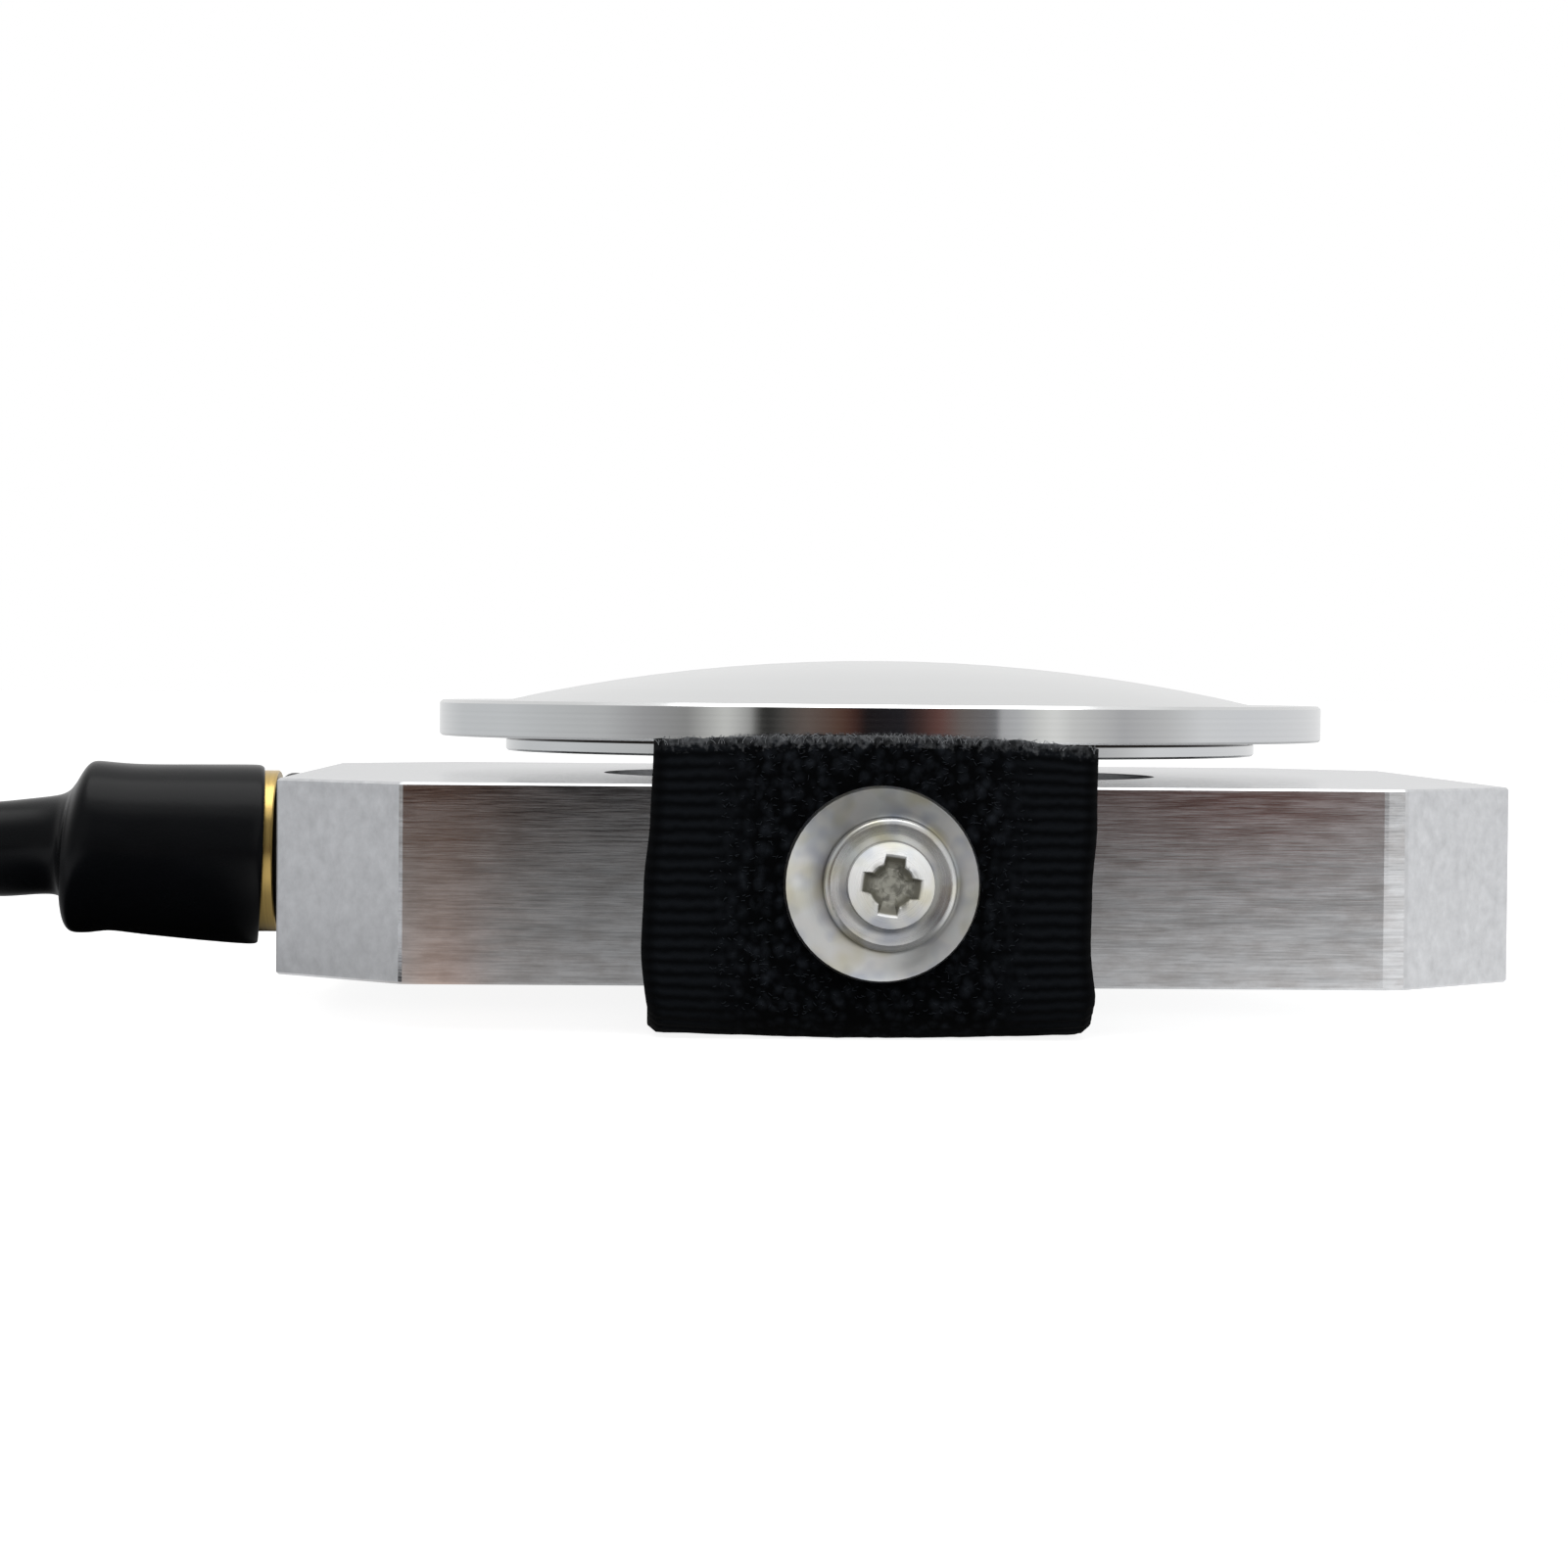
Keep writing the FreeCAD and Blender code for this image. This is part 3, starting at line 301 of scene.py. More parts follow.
def plain_finish(name, colour, roughness, spots, depth, metallic=0.0, specular=0.5):
    """A finish with one fine grain: moulded, dipped or drawn, told apart by grain size and gloss."""
    material, add, shader, place = start(name, {"Metallic": metallic, "Specular IOR Level": specular})
    finish_surface(add, shader, grain(add, place, spots, 4.0),
                   (shade(colour, 0.75), shade(colour, 1.25)),
                   (roughness - 0.06, roughness + 0.06), depth * MM)
    return material


def brushed_aluminium_billet(colour):
    """Aluminium billet: the long faces brushed along X, the corners and ends milled to a satin.

    The brushing draws reflections up and down and leaves fine level streaks; the milled faces
    look cloudy and a little blue.
    """
    material, add, shader, place = start("brushed_aluminium_billet", {"Metallic": 1.0})
    front, top = facing(add, place, 1, 0.9), facing(add, place, 2, 0.9)
    # Streaks on the long faces are drawn coarser than the real brushing, which wouldn't show.
    streaks = add("Mix", {0: 0.5, 2: grain(add, place, (3, 3, 0.15), 5.0),
                          3: grain(add, place, (8, 8, 0.55), 3.0)})
    brushed = add("MapRange", [streaks, 0.33, 0.58])
    swept = grain(add, place, (14, 0.3, 9), 4.0)
    milled = grain(add, place, 0.9, 6.0)
    cloudy = add("MapRange", [milled, 0.0, 0.75])
    flats = add("Mix", {0: top, 2: cloudy, 3: swept})
    pattern = add("Mix", {0: front, 2: flats, 3: brushed})
    finish_surface(add, shader, pattern, (shade(colour, 0.72), shade(colour, 1.16)), (0.34, 0.42),
                   0.001 * MM)
    roughen(add, shader, front, -0.29)
    roughen(add, shader, top, -0.22)
    # Stains from handling cloud the long faces.
    handled = grain(add, place, (2.2, 2.2, 0.9), 4.0)
    blotch = add("MapRange", [handled, 0.4, 0.75, 0.0, 0.42])
    stain(add, shader, linear("8f837b"), blotch, front)
    return material


def turned_aluminium(colour):
    """Aluminium turned on a lathe: rings on the faces and level lines round the rim."""
    material, add, shader, place = start("turned_aluminium", {"Metallic": 1.0})
    x, y, z = add("SeparateXYZ", {"Vector": place["Object"]}).outputs
    flat = add("CombineXYZ", {"X": x, "Y": y})
    radius = add("VectorMath", [flat], "LENGTH")
    # The tool marks are drawn 0.3 mm apart on the faces and 0.2 mm on the rim, so that they show.
    turned = add("CombineXYZ", {"X": radius, "Y": z})
    fit = add("Mapping", {"Vector": turned, "Scale": [1 / (0.3 * MM), 1 / (0.2 * MM), 1.0]})
    lines = add("TexNoise", {"Vector": fit, "Scale": 1.0, "Detail": 3.0, "Roughness": 0.55})
    finish_surface(add, shader, lines, (shade(colour, 0.9), shade(colour, 1.06)), (0.04, 0.1),
                   0.0012 * MM)
    roughen(add, shader, facing(add, place, 2, 0.5), 0.08)
    # Painted shade: the narrow groove in which the flange meets the foot plate is painted dark.
    level = add("Math", [z, GROOVE_HEIGHT * MM, GROOVE_HALF * MM], "COMPARE")
    within = add("Math", [radius, GROOVE_RADIUS * MM], "LESS_THAN")
    stain(add, shader, linear("2a2725"), level, within)
    return material


def bright_zinc(name, colour, axis, metallic, roughness, dome):
    """Bright zinc on steel: nearly white, turned about the screw's axis, with a faint colour film.

    The screw's plating is finely crystalline and scatters light, so it isn't all metal. A dome,
    given by its height and its fall towards the edge, tells the driver slot from the head's own
    surface: the slot is painted olive grey, darker just inside and paler deeper in.
    """
    material, add, shader, place = start(name, {"Metallic": metallic})
    x, y, z = add("SeparateXYZ", {"Vector": place["Object"]}).outputs
    flat = add("CombineXYZ", {"X": x, "Z": z})
    centre = [axis[0] * MM, 0, axis[1] * MM]
    radius = add("VectorMath", [flat, centre], "DISTANCE")
    rings = add("TexNoise", {"W": radius, "Scale": 1 / (0.25 * MM), "Detail": 3.0}, noise_dimensions="1D")
    rosy = [colour[0], colour[1] * 0.96, colour[2] * 0.94, 1.0]
    green = [colour[0] * 0.93, colour[1], colour[2] * 1.03, 1.0]
    finish_surface(add, shader, rings, (rosy, green), (roughness - 0.06, roughness + 0.06), 0.003 * MM)
    shift = grain(add, place, 2.2, 2.0)
    film = add("Mix", {0: shift, 6: rosy, 7: green}, data_type="RGBA")
    feed(shader, {"Base Color": film})
    for spots, hex_code in ((1.6, "8c98b4"), (2.0, "c9c08f")):
        clouds = grain(add, place, spots, 1.0)
        cloud = add("MapRange", [clouds, 0.48, 0.7, 0.0, 0.4])
        stain(add, shader, linear(hex_code), cloud)
    if dome:
        height, slope = dome
        depth = add("Math", [y], "ABSOLUTE")
        square = add("Math", [radius, radius], "MULTIPLY")
        fall = add("Math", [square, slope / MM, depth], "MULTIPLY_ADD")
        near = add("Math", [radius, 2.3 * MM], "LESS_THAN")
        # The slot is painted olive grey, darker just inside its edge and paler deeper in.
        for begin, end, hex_code in ((0.08, 0.25, "68665b"), (0.5, 1.0, "a3a298")):
            deep = add("MapRange", [fall, (height - begin) * MM, (height - end) * MM])
            stain(add, shader, linear(hex_code), deep, near)
        # The slot's edges are worn and bruised by the driver.
        slot = add("MapRange", [radius, 1.75 * MM, 1.35 * MM])
        dents = grain(add, place, 0.6, 2.0)
        bruise = add("MapRange", [dents, 0.46, 0.6, 0.0, 0.8])
        stain(add, shader, linear("66655d"), slot, bruise)
    return material


def pile_webbing(colour, fray, sizes):
    """Polyester hook-and-loop webbing: ribbed plain edges and a cropped, speckled pile between.

    It looks dull black, with grey glints where fibres catch the light, painted as highlights in its colour.
    """
    material, add, shader, place = start("polyester_pile_webbing", {
        "Specular IOR Level": 0.03, "Sheen Weight": 0.02, "Sheen Roughness": 0.5})
    across, along = add("SeparateXYZ", {"Vector": place["UV"]}).outputs[:2]
    aside = add("Math", [across], "ABSOLUTE")
    inner = (STRAP_HALF * MM - sizes.plain_edge) / UV_UNIT
    edge = add("MapRange", [aside, inner - 0.015, inner + 0.015])
    turn = add("Math", [along, math.tau * UV_UNIT / sizes.rib_pitch], "MULTIPLY")
    # Loops of the pile stand in loose rows, about 0.7 mm across, one row to a rib.
    fit = add("Mapping", {"Vector": place["UV"], "Scale": [
        UV_UNIT / (0.7 * MM), UV_UNIT / sizes.rib_pitch, 1.0]})
    loops = add("TexVoronoi", {"Vector": fit, "Scale": 1.0, "Randomness": 0.75})
    crown = add("MapRange", [loops, 0.7, 0.05])
    wear_and_glint = add("TexNoise", {"Vector": fit, "Scale": 0.9, "Detail": 3.0})
    # The ribs of the edges are pulled a little out of line.
    loose = add("Math", [wear_and_glint, 4.0, turn], "MULTIPLY_ADD")
    wave = add("Math", [loose], "COSINE")
    ribs = add("MapRange", [wave, -1.0, 1.0, 0.06, 0.26])
    # Painted highlights: grey glints on the crowns of the loops, with painted shade between the loops.
    glint = add("MapRange", [wear_and_glint, 0.36, 0.72])
    speck = add("Math", [crown, glint], "MULTIPLY")
    pattern = add("Mix", {0: edge, 2: speck, 3: ribs})
    finish_surface(add, shader, pattern, (shade(colour, 0.2), shade(colour, 3.8)), (0.95, 0.75),
                   0.1 * MM)
    # The cut end is worn grey in tufts.
    fluff = add("TexNoise", {"Vector": fit, "Scale": 2.2, "Detail": 4.0})
    uneven = add("Math", [fluff, -2.2 * MM / UV_UNIT, along], "MULTIPLY_ADD")
    cut = add("MapRange", [uneven, -0.45 * MM / UV_UNIT, -1.3 * MM / UV_UNIT])
    lumps = add("MapRange", [wear_and_glint, 0.36, 0.66, 0.15, 0.85])
    stain(add, shader, shade(fray, 0.8), cut, lumps)
    # The outermost threads lie in shadow.
    rim = add("MapRange", [aside, 12.5 * MM / UV_UNIT, 13.0 * MM / UV_UNIT, 0.0, 0.7])
    stain(add, shader, shade(colour, 0.2), rim)
    return material


def gauge_foil():
    """Polyimide film with an etched foil grid: amber, with metal lines 0.2 mm wide and as far apart."""
    material, add, shader, place = start("polyimide_gauge_foil")
    x = add("SeparateXYZ", {"Vector": place["Object"]}).outputs["X"]
    turn = add("Math", [x, math.tau / (0.4 * MM)], "MULTIPLY")
    wave = add("Math", [turn], "SINE")
    grid = add("MapRange", [wave, -0.2, 0.2])
    finish_surface(add, shader, grid, (linear("8a5a1c") + [1.0], linear("c9b79a") + [1.0]),
                   (0.45, 0.3), 0.004 * MM)
    return material


def new_piece(name, mesh, material, nodes=()):
    """The bmesh as a piece of the object that rides with the CAD and may stand for some of it."""
    bmesh.ops.recalc_face_normals(mesh, faces=mesh.faces[:])
    if mesh.calc_volume(signed=True) < 0:
        bmesh.ops.reverse_faces(mesh, faces=mesh.faces[:])
    data = bpy.data.meshes.new(name)
    mesh.to_mesh(data)
    mesh.free()
    data.shade_smooth()
    return keep(bpy.data.objects.new(name, data), material, nodes)


def keep(piece, material, nodes=()):
    """A made object, linked into the scene with its material, its ride and the nodes it replaces."""
    piece.data.materials.append(material)
    bpy.context.scene.collection.objects.link(piece)
    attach(piece, "root")
    if nodes:
        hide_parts(*nodes)
    return piece


def dress(material, *nodes):
    """The material on CAD nodes that keep their own shape."""
    for name in nodes:
        for slot in frame["nodes"][name].material_slots:
            slot.material = material


def smooth(value, low, high):
    """A soft step from 0 at low to 1 at high."""
    share = min(1.0, max(0.0, (value - low) / (high - low)))
    return share * share * (3 - 2 * share)


def between(table, at):
    """The value of a short table at a place between its rows."""
    for (low, first), (high, last) in zip(table, table[1:]):
        if at <= high:
            return first + (last - first) * smooth(at, low, high)
    return table[-1][1]


def walk(path, point, heading, along):
    """Place and inward direction at a distance along a path of (length, radius) pieces.

    Radius 0 is a straight run; the others turn left.
    """
    inward = Vector((-math.sin(heading), math.cos(heading)))
    for length, radius in path:
        step = min(along, length) if (length, radius) != path[-1] else along
        if radius:
            centre = point + inward * radius
            heading += step / radius
            inward = Vector((-math.sin(heading), math.cos(heading)))
            point = centre - inward * radius
        else:
            point = point + Vector((math.cos(heading), math.sin(heading))) * step
        along -= step
        if along <= 0:
            break
    return point, inward


def strip(mesh, width, length, thick, columns, rows):
    """A flat closed strip in the bmesh; every vertex with its place across, along and inside."""
    made = bmesh.ops.create_grid(mesh, x_segments=columns, y_segments=rows, size=0.5)
    outer = made["verts"]
    faces = {face for vert in outer for face in vert.link_faces}
    made = bmesh.ops.extrude_face_region(mesh, geom=list(faces), use_keep_orig=True)
    inner = [item for item in made["geom"] if isinstance(item, bmesh.types.BMVert)]
    places = {}
    for verts, depth in ((outer, 0.0), (inner, thick)):
        for vert in verts:
            places[vert] = (vert.co.x * width, (0.5 - vert.co.y) * length, depth)
    return places


def strap_path(strap):
    """A strap's outside from its top end, as a path in the YZ plane seen from its own side."""
    low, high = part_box(strap.node)
    face = -low.y if strap.side < 0 else high.y
    tail = high.y if strap.side < 0 else -low.y
    bend, base = strap.bend * MM, strap.base * MM
    path = [(high.z - base - bend, 0), (bend * math.pi / 2, bend), (face - bend + tail, 0)]
    middle = (low.x + high.x) / 2
    return path, Vector((-face, high.z)), middle


def strap_place(strap, lay, across, along, depth):
    """A point of the strap in the frame from its place across, along and inside the webbing."""
    path, top, middle = lay
    shift = between(STRAP_SWAY, along / MM) * MM * (1 if strap.side < 0 else -0.6)
    span = between(STRAP_SPAN, along / MM) / (2 * STRAP_HALF)
    # The cut top end is arched and hangs a little lower on the right.
    off = across / MM - 1.6
    sag = off * off * (0.0045 if off > 0 else 0.0012) * MM
    along += sag * (1 - smooth(along, 0.0, 5 * MM))
    point, inward = walk(path, top, -math.pi / 2, along)
    point = point + inward * depth
    if strap.side < 0:
        # The front strap's edges curl up a little where it turns under the block and the rear strap.
        curl = smooth(along, 12 * MM, 17 * MM) * (1 - smooth(along, 20 * MM, 24 * MM))
        point.y += 0.4 * MM * curl * (across / (STRAP_HALF * MM)) ** 2
    return Vector((middle + shift + across * span, -strap.side * point.x, point.y))


def clamped(lay, node):
    """Where a fastener sits on the flat webbing, across and along, and its radius."""
    low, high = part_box(node)
    middle = (low + high) / 2
    return Vector((middle.x - lay[2], lay[1].y - middle.z)), (high.z - low.z) / 2


def punch(mesh, places, centre, radius):
    """A screw hole through a strip; gives the places of the vertices that are left."""
    hole = [face for face in mesh.faces
            if all((Vector(places[vert][:2]) - centre).length < radius for vert in face.verts)]
    bmesh.ops.delete(mesh, geom=hole, context="FACES")
    bmesh.ops.bridge_loops(mesh, edges=[edge for edge in mesh.edges if edge.is_boundary])
    return {vert: place for vert, place in places.items() if vert.is_valid}


def pile_lines(strap, lay, number, draw):
    """Loops of the pile, between the plain edges from the top end to the bend."""
    cup, cup_radius = clamped(lay, "cup_washers")
    pile = []
    for count in range(number):
        across = draw.uniform(-PILE_HALF, PILE_HALF) * MM
        along = draw.uniform(*PILE_ENDS) * MM
        reach, rise = draw.uniform(0.14, 0.32) * MM, draw.uniform(0.03, 0.16) * MM
        way = draw.gauss(0, 0.5)
        # No loop stands under the washer.
        if (Vector((across, along)) - cup).length < cup_radius + reach:
            continue
        line = []
        for share, lift in ((0, -0.1), (0.25, 0.8), (0.75, 1.0), (1.0, -0.1)):
            off = reach * (share - 0.5)
            line.append(strap_place(strap, lay, across + off * math.cos(way),
                                    along + off * math.sin(way), 0.06 * MM - rise * lift))
        pile.append(line)
    return pile


def fray_lines(strap, lay, number, draw):
    """Loose fibres that stand up from the cut top end, two thirds of them in tufts."""
    fray = []
    tufts = [draw.uniform(-FRAY_HALF, FRAY_HALF) for count in range(FRAY_TUFTS)]
    for count in range(number):
        across = draw.gauss(draw.choice(tufts), 0.45 if count % 3 else 4.0)
        across = min(13.2, max(-13.2, across)) * MM
        depth = abs(draw.gauss(0, 0.5)) * MM
        length = draw.uniform(0.15, 0.55) * MM
        lean, out = draw.gauss(0, 0.6), draw.gauss(0.25, 0.35)
        line = []
        for share in (0.0, 0.4, 0.75, 1.0):
            bow = share * share * length
            foot = strap_place(strap, lay, across + lean * bow, 0.35 * MM, min(depth, 1.5 * MM))
            line.append(foot + Vector((0, strap.side * out * bow, length * share)))
        fray.append(line)
    return fray


def make_strap(strap, sizes, materials):
    """One folded webbing strap with its ribs, pile and frayed top end."""
    lay = strap_path(strap)
    length = sum(piece[0] for piece in lay[0])
    half, thick = STRAP_HALF * MM, STRAP_THICK * MM
    mesh = bmesh.new()
    places = strip(mesh, 2 * half, length, thick, STRAP_COLUMNS, round(length / (STRAP_ROW * MM)))
    places = punch(mesh, places, clamped(lay, "strap_screws")[0], STRAP_HOLE * MM)
    seed = Vector((3.1, 8.7, 40.0 * strap.side))
    for vert, (across, along, depth) in places.items():
        edge = smooth(abs(across), half - sizes.plain_edge - 1.5 * MM, half - sizes.plain_edge + 1.5 * MM)
        rib = 0.5 - 0.5 * math.cos(math.tau * along / sizes.rib_pitch)
        pile = 0.5 + 0.5 * noise.noise(Vector((across / (0.9 * MM), along / (0.6 * MM), 0)) + seed)
        # The edges are worn round over their last 0.7 mm, and the cut top end is ragged.
        worn = max(0.0, (abs(across) / MM - 12.8) / 0.7) ** 2 * 0.45 * MM
        ragged = noise.noise(Vector((across / (0.5 * MM), depth / MM, 5.0)) + seed) * 0.22 * MM
        sink = sizes.rib_depth * (edge * rib + (1 - edge) * pile) + worn if not depth else -0.6 * worn
        vert.co = strap_place(strap, lay, across,
                              along + ragged * (1 - smooth(along, 0, 0.6 * MM)), depth + sink)
    layer = mesh.loops.layers.uv.new("lay")
    for face in mesh.faces:
        for corner in face.loops:
            across, along = places[corner.vert][:2]
            corner[layer].uv = (across / UV_UNIT, along / UV_UNIT)
    piece = new_piece(strap.node + "_webbing", mesh, materials["webbing"], [strap.node])
    draw = random.Random(11 + strap.side)
    pile = pile_lines(strap, lay, sizes.pile_loops, draw)
    loops = tubes(strap.node + "_pile", "POLY", pile, sizes.fibre, 0)
    keep(loops, materials["pile"])
    fray = fray_lines(strap, lay, sizes.fray_fibres, draw)
    ends = tubes(strap.node + "_fray", "POLY", fray, sizes.fibre * 0.8, 0)
    keep(ends, materials["fray"])
    flat = (2 * half, sum(run * (1 - thick / 2 / bend if bend else 1) for run, bend in lay[0]))


def tubes(name, kind, lines, thick, rounding):
    """Closed tubes along lines of points; with rounding 0 they are square."""
    curve = bpy.data.curves.new(name, "CURVE")
    curve.dimensions = "3D"
    curve.bevel_depth, curve.bevel_resolution = thick / 2, rounding
    curve.use_fill_caps = True
    for line in lines:
        spline = curve.splines.new(kind)
        spline.points.add(len(line) - 1)
        for point, place in zip(spline.points, line):
            point.co = (*place, 1.0)
    return bpy.data.objects.new(name, curve)


# Tones that the polished faces mirror. On the wall: bearing in degrees, right of straight ahead,
# and tone near the floor, higher up, and at the skirting where the table meets the wall.
WALL_LOW = (
    (-180, "f0f0f0"), (-135, "d4d6d8"), (-110, "d8dadc"), (-74, "c6c7c8"), (-62, "ababac"),
    (-50, "979796"), (-40, "dadad7"), (-36, "c0c0be"), (-33, "9c9c9a"), (-32, "403f3d"),
    (-29, "2c2c2b"), (-26, "4e4c4a"), (-20, "6a5f5a"), (-12, "5c443a"), (-9, "4a302a"),
    (-6, "1c181a"), (3, "222125"), (7, "41302e"), (12, "6b4a45"), (17, "6e6663"), (25.3, "77777a"),
    (26, "b4b4b6"), (31, "c2c3c5"), (36, "e0e0de"), (40, "f1f1ef"), (45, "dcdcdb"), (59, "bcbcbe"),
    (72, "d0d0d1"), (84, "e7e8ea"), (100, "e6e7ea"), (180, "f0f0f0"),
)
WALL_HIGH = (
    (-180, "f0f0f0"), (-120, "ececec"), (-70, "b0b0b0"), (-45, "b0b0b0"), (-24, "a8a8a8"),
    (-21, "5a5a5a"), (-9, "5a5a5a"), (-6, "d2d2d2"), (35, "d2d2d2"), (45, "cccccc"), (70, "c8c8c8"),
    (110, "eeeeee"), (180, "f0f0f0"),
)
WALL_BASE = (
    (-180, "f0f0f0"), (-60, "c8c8c8"), (-9.5, "a8a29e"), (-8.3, "8c6750"), (-7, "80604e"),
    (-6, "524e4c"), (-3, "504e4c"), (5, "6a6462"), (9, "7a5c54"), (12, "987a72"), (14, "d0d0d0"),
    (40, "e0e0e0"), (180, "f0f0f0"),
)
# On the table: distance to the front, or place across the block's face, in millimetres, and tone.
TABLE_FRONT = (
    (0, "a4a4a4"), (8, "b0b0b0"), (16, "ffffff"), (40, "ffffff"), (75, "f2f2f2"), (89.5, "ededed"),
    (108, "e1e1e1"), (129, "d6d6d6"), (153, "cbcbcb"), (180, "bfbfbf"), (211, "b8b8b8"),
    (248, "b3b3b3"), (292, "afafaf"), (345, "a4a4a4"),
)
TABLE_ASIDE = (
    (-230, "f4f5f8"), (-72, "f4f5f8"), (-66, "1c1c1c"), (-49, "1c1c1c"), (-47.3, "404040"),
    (-46.2, "e8e8e8"), (-38, "e8e8e8"), (-33, "cbc8c6"), (-30.2, "cbc4c0"), (-29, "d5bcae"),
    (-27.3, "d0b6ab"), (-26, "b6b3b1"), (-18, "b3b3b3"), (-12.5, "b8b8b8"), (-10, "7c7c7c"),
    (8.5, "7c7c7c"), (11, "d3d3d3"), (14, "d5d5d5"), (21, "e5e5e5"), (26, "f3f3f3"), (29, "ffffff"),
    (230, "ffffff"),
)


class LOADCELL_OT_stage(bpy.types.Operator):
    """Makes the pale floor, the soft light, the dark studio wall in front and the camera"""

    bl_idname = "load_cell.stage"
    bl_label = "Stage"

    def execute(self, context):
        scene = context.scene
        scene.view_settings.view_transform = "Standard"
        self.make_camera(scene)
        self.make_world(scene)
        self.make_floor(scene.load_cell_colours.floor)
        self.make_wall()
        self.make_table()
        self.make_lamp(scene, "overhead_softbox", (0.8, 0.5), 2.2, (0.05, -0.02, 0.7), 0)
        # The fill lights the front and isn't mirrored in the metal.
        fill = self.make_lamp(scene, "front_fill", (0.5, 0.3), 2.0, (-0.05, -0.5, 0.32), 60)
        fill.visible_glossy = False
        return {"FINISHED"}

    def make_lamp(self, scene, name, sides, energy, place, tilt):
        """A soft rectangular lamp that looks down, tilted back by some degrees."""
        lamp = bpy.data.lights.new(name, "AREA")
        lamp.shape, lamp.energy = "RECTANGLE", energy
        lamp.size, lamp.size_y = sides
        soft = bpy.data.objects.new(name, lamp)
        soft.location = place
        soft.rotation_euler = (math.radians(tilt), 0, 0)
        scene.collection.objects.link(soft)
        return soft

    def make_camera(self, scene):
        """The photograph's viewpoint: low in front of the block, a little left of its middle."""
        lens = bpy.data.cameras.new("photo_camera")
        lens.lens, lens.sensor_width, lens.clip_start = 95.3, 36.0, 0.01
        camera = bpy.data.objects.new("photo_camera", lens)
        camera.location = CAMERA_PLACE
        camera.rotation_euler = [math.radians(turn) for turn in CAMERA_TURN]
        scene.collection.objects.link(camera)
        scene.camera = camera

    def make_world(self, scene):
        """White where it is seen or mirrored, and a softer level where it lights the object."""
        world = bpy.data.worlds.new("white_studio")
        world.use_nodes = True
        add = adder(world.node_tree)
        level = add("MapRange", [self.seen_directly(add), 0.0, 1.0, 0.55, 1.0])
        back = add("Background", {"Color": WHITE, "Strength": level})
        add("OutputWorld", {"Surface": back})
        scene.world = world

    def seen_directly(self, add):
        """1 for the camera, for mirrored and for transmitted light, and 0 for the rest."""
        path = add("LightPath").outputs
        seen = path["Is Camera Ray"]
        for way in ("Is Glossy Ray", "Is Transmission Ray"):
            seen = add("Math", [seen, path[way]], "MAXIMUM")
        return seen

    def make_floor(self, colour):
        """A pale paper floor that keeps a light shadow of the object."""
        material, add, shader, place = start("pale_floor_paper", {
            "Base Color": shade(colour, 0.42), "Roughness": 1.0, "Specular IOR Level": 0.0,
            "Emission Color": WHITE})
        lift = add("Math", [self.seen_directly(add), 0.88], "MULTIPLY")
        feed(shader, {"Emission Strength": lift})
        mesh = bmesh.new()
        bmesh.ops.create_grid(mesh, x_segments=1, y_segments=1, size=FLOOR_HALF)
        self.stage_piece("pale_floor", mesh, material)

    def make_wall(self):
        """What the polished faces mirror: a dark room in front, lit strips at its sides, pale behind."""
        material, add, shader, place = start("studio_wall", CARD)
        x, y, z = add("SeparateXYZ", {"Vector": place["Object"]}).outputs
        ahead = add("Math", [y, -1.0], "MULTIPLY")
        turn = add("Math", [x, ahead], "ARCTAN2")
        paint = WHITE
        for stops, begin, end in ((WALL_HIGH, 0.5, 0.4), (WALL_LOW, 0.07, 0.03),
                                  (WALL_BASE, 0.0075, 0.0025)):
            rise = add("MapRange", [z, begin, end])
            tones = self.tones(add, turn, stops, math.radians(1))
            paint = add("Mix", {0: rise, 6: paint, 7: tones}, data_type="RGBA")
        feed(shader, {"Emission Color": paint})
        mesh = bmesh.new()
        bmesh.ops.create_circle(mesh, segments=ROOM_SIDES, radius=ROOM_RADIUS)
        made = bmesh.ops.extrude_edge_only(mesh, edges=mesh.edges[:])
        raised = [item for item in made["geom"] if isinstance(item, bmesh.types.BMVert)]
        bmesh.ops.translate(mesh, verts=raised, vec=(0, 0, ROOM_HEIGHT))
        self.stage_piece("studio_wall", mesh, material, hidden=True)

    def make_table(self):
        """What the polished faces mirror below them: a table that darkens away from the object."""
        material, add, shader, place = start("studio_table", CARD)
        x, y = add("SeparateXYZ", {"Vector": place["Object"]}).outputs[:2]
        # An upright line on the front face mirrors a line on the table that runs from the camera's
        # image behind that face, so one row of tones is set by the place across the face.
        depth = FRONT_FACE - CAMERA_PLACE[1]
        ahead = add("Math", [y, -1.0], "MULTIPLY")
        reach = add("Math", [ahead, FRONT_FACE + depth], "ADD")
        off = add("Math", [x, -CAMERA_PLACE[0]], "ADD")
        slope = add("Math", [off, reach], "DIVIDE")
        across = add("Math", [slope, depth, CAMERA_PLACE[0]], "MULTIPLY_ADD")
        both = add("Mix", {0: 1.0, 6: self.tones(add, ahead, TABLE_FRONT, MM),
                           7: self.tones(add, across, TABLE_ASIDE, MM)},
                   data_type="RGBA", blend_type="MULTIPLY")
        bright = add("MapRange", [across, 33 * MM, 38 * MM])
        paint = add("Mix", {0: bright, 6: both, 7: WHITE}, data_type="RGBA")
        feed(shader, {"Emission Color": paint})
        mesh = bmesh.new()
        made = bmesh.ops.create_circle(mesh, segments=ROOM_SIDES, radius=ROOM_RADIUS, cap_ends=True)
        bmesh.ops.translate(mesh, vec=(0, 0, 0.0002), verts=made["verts"])
        self.stage_piece("studio_table", mesh, material, hidden=True)

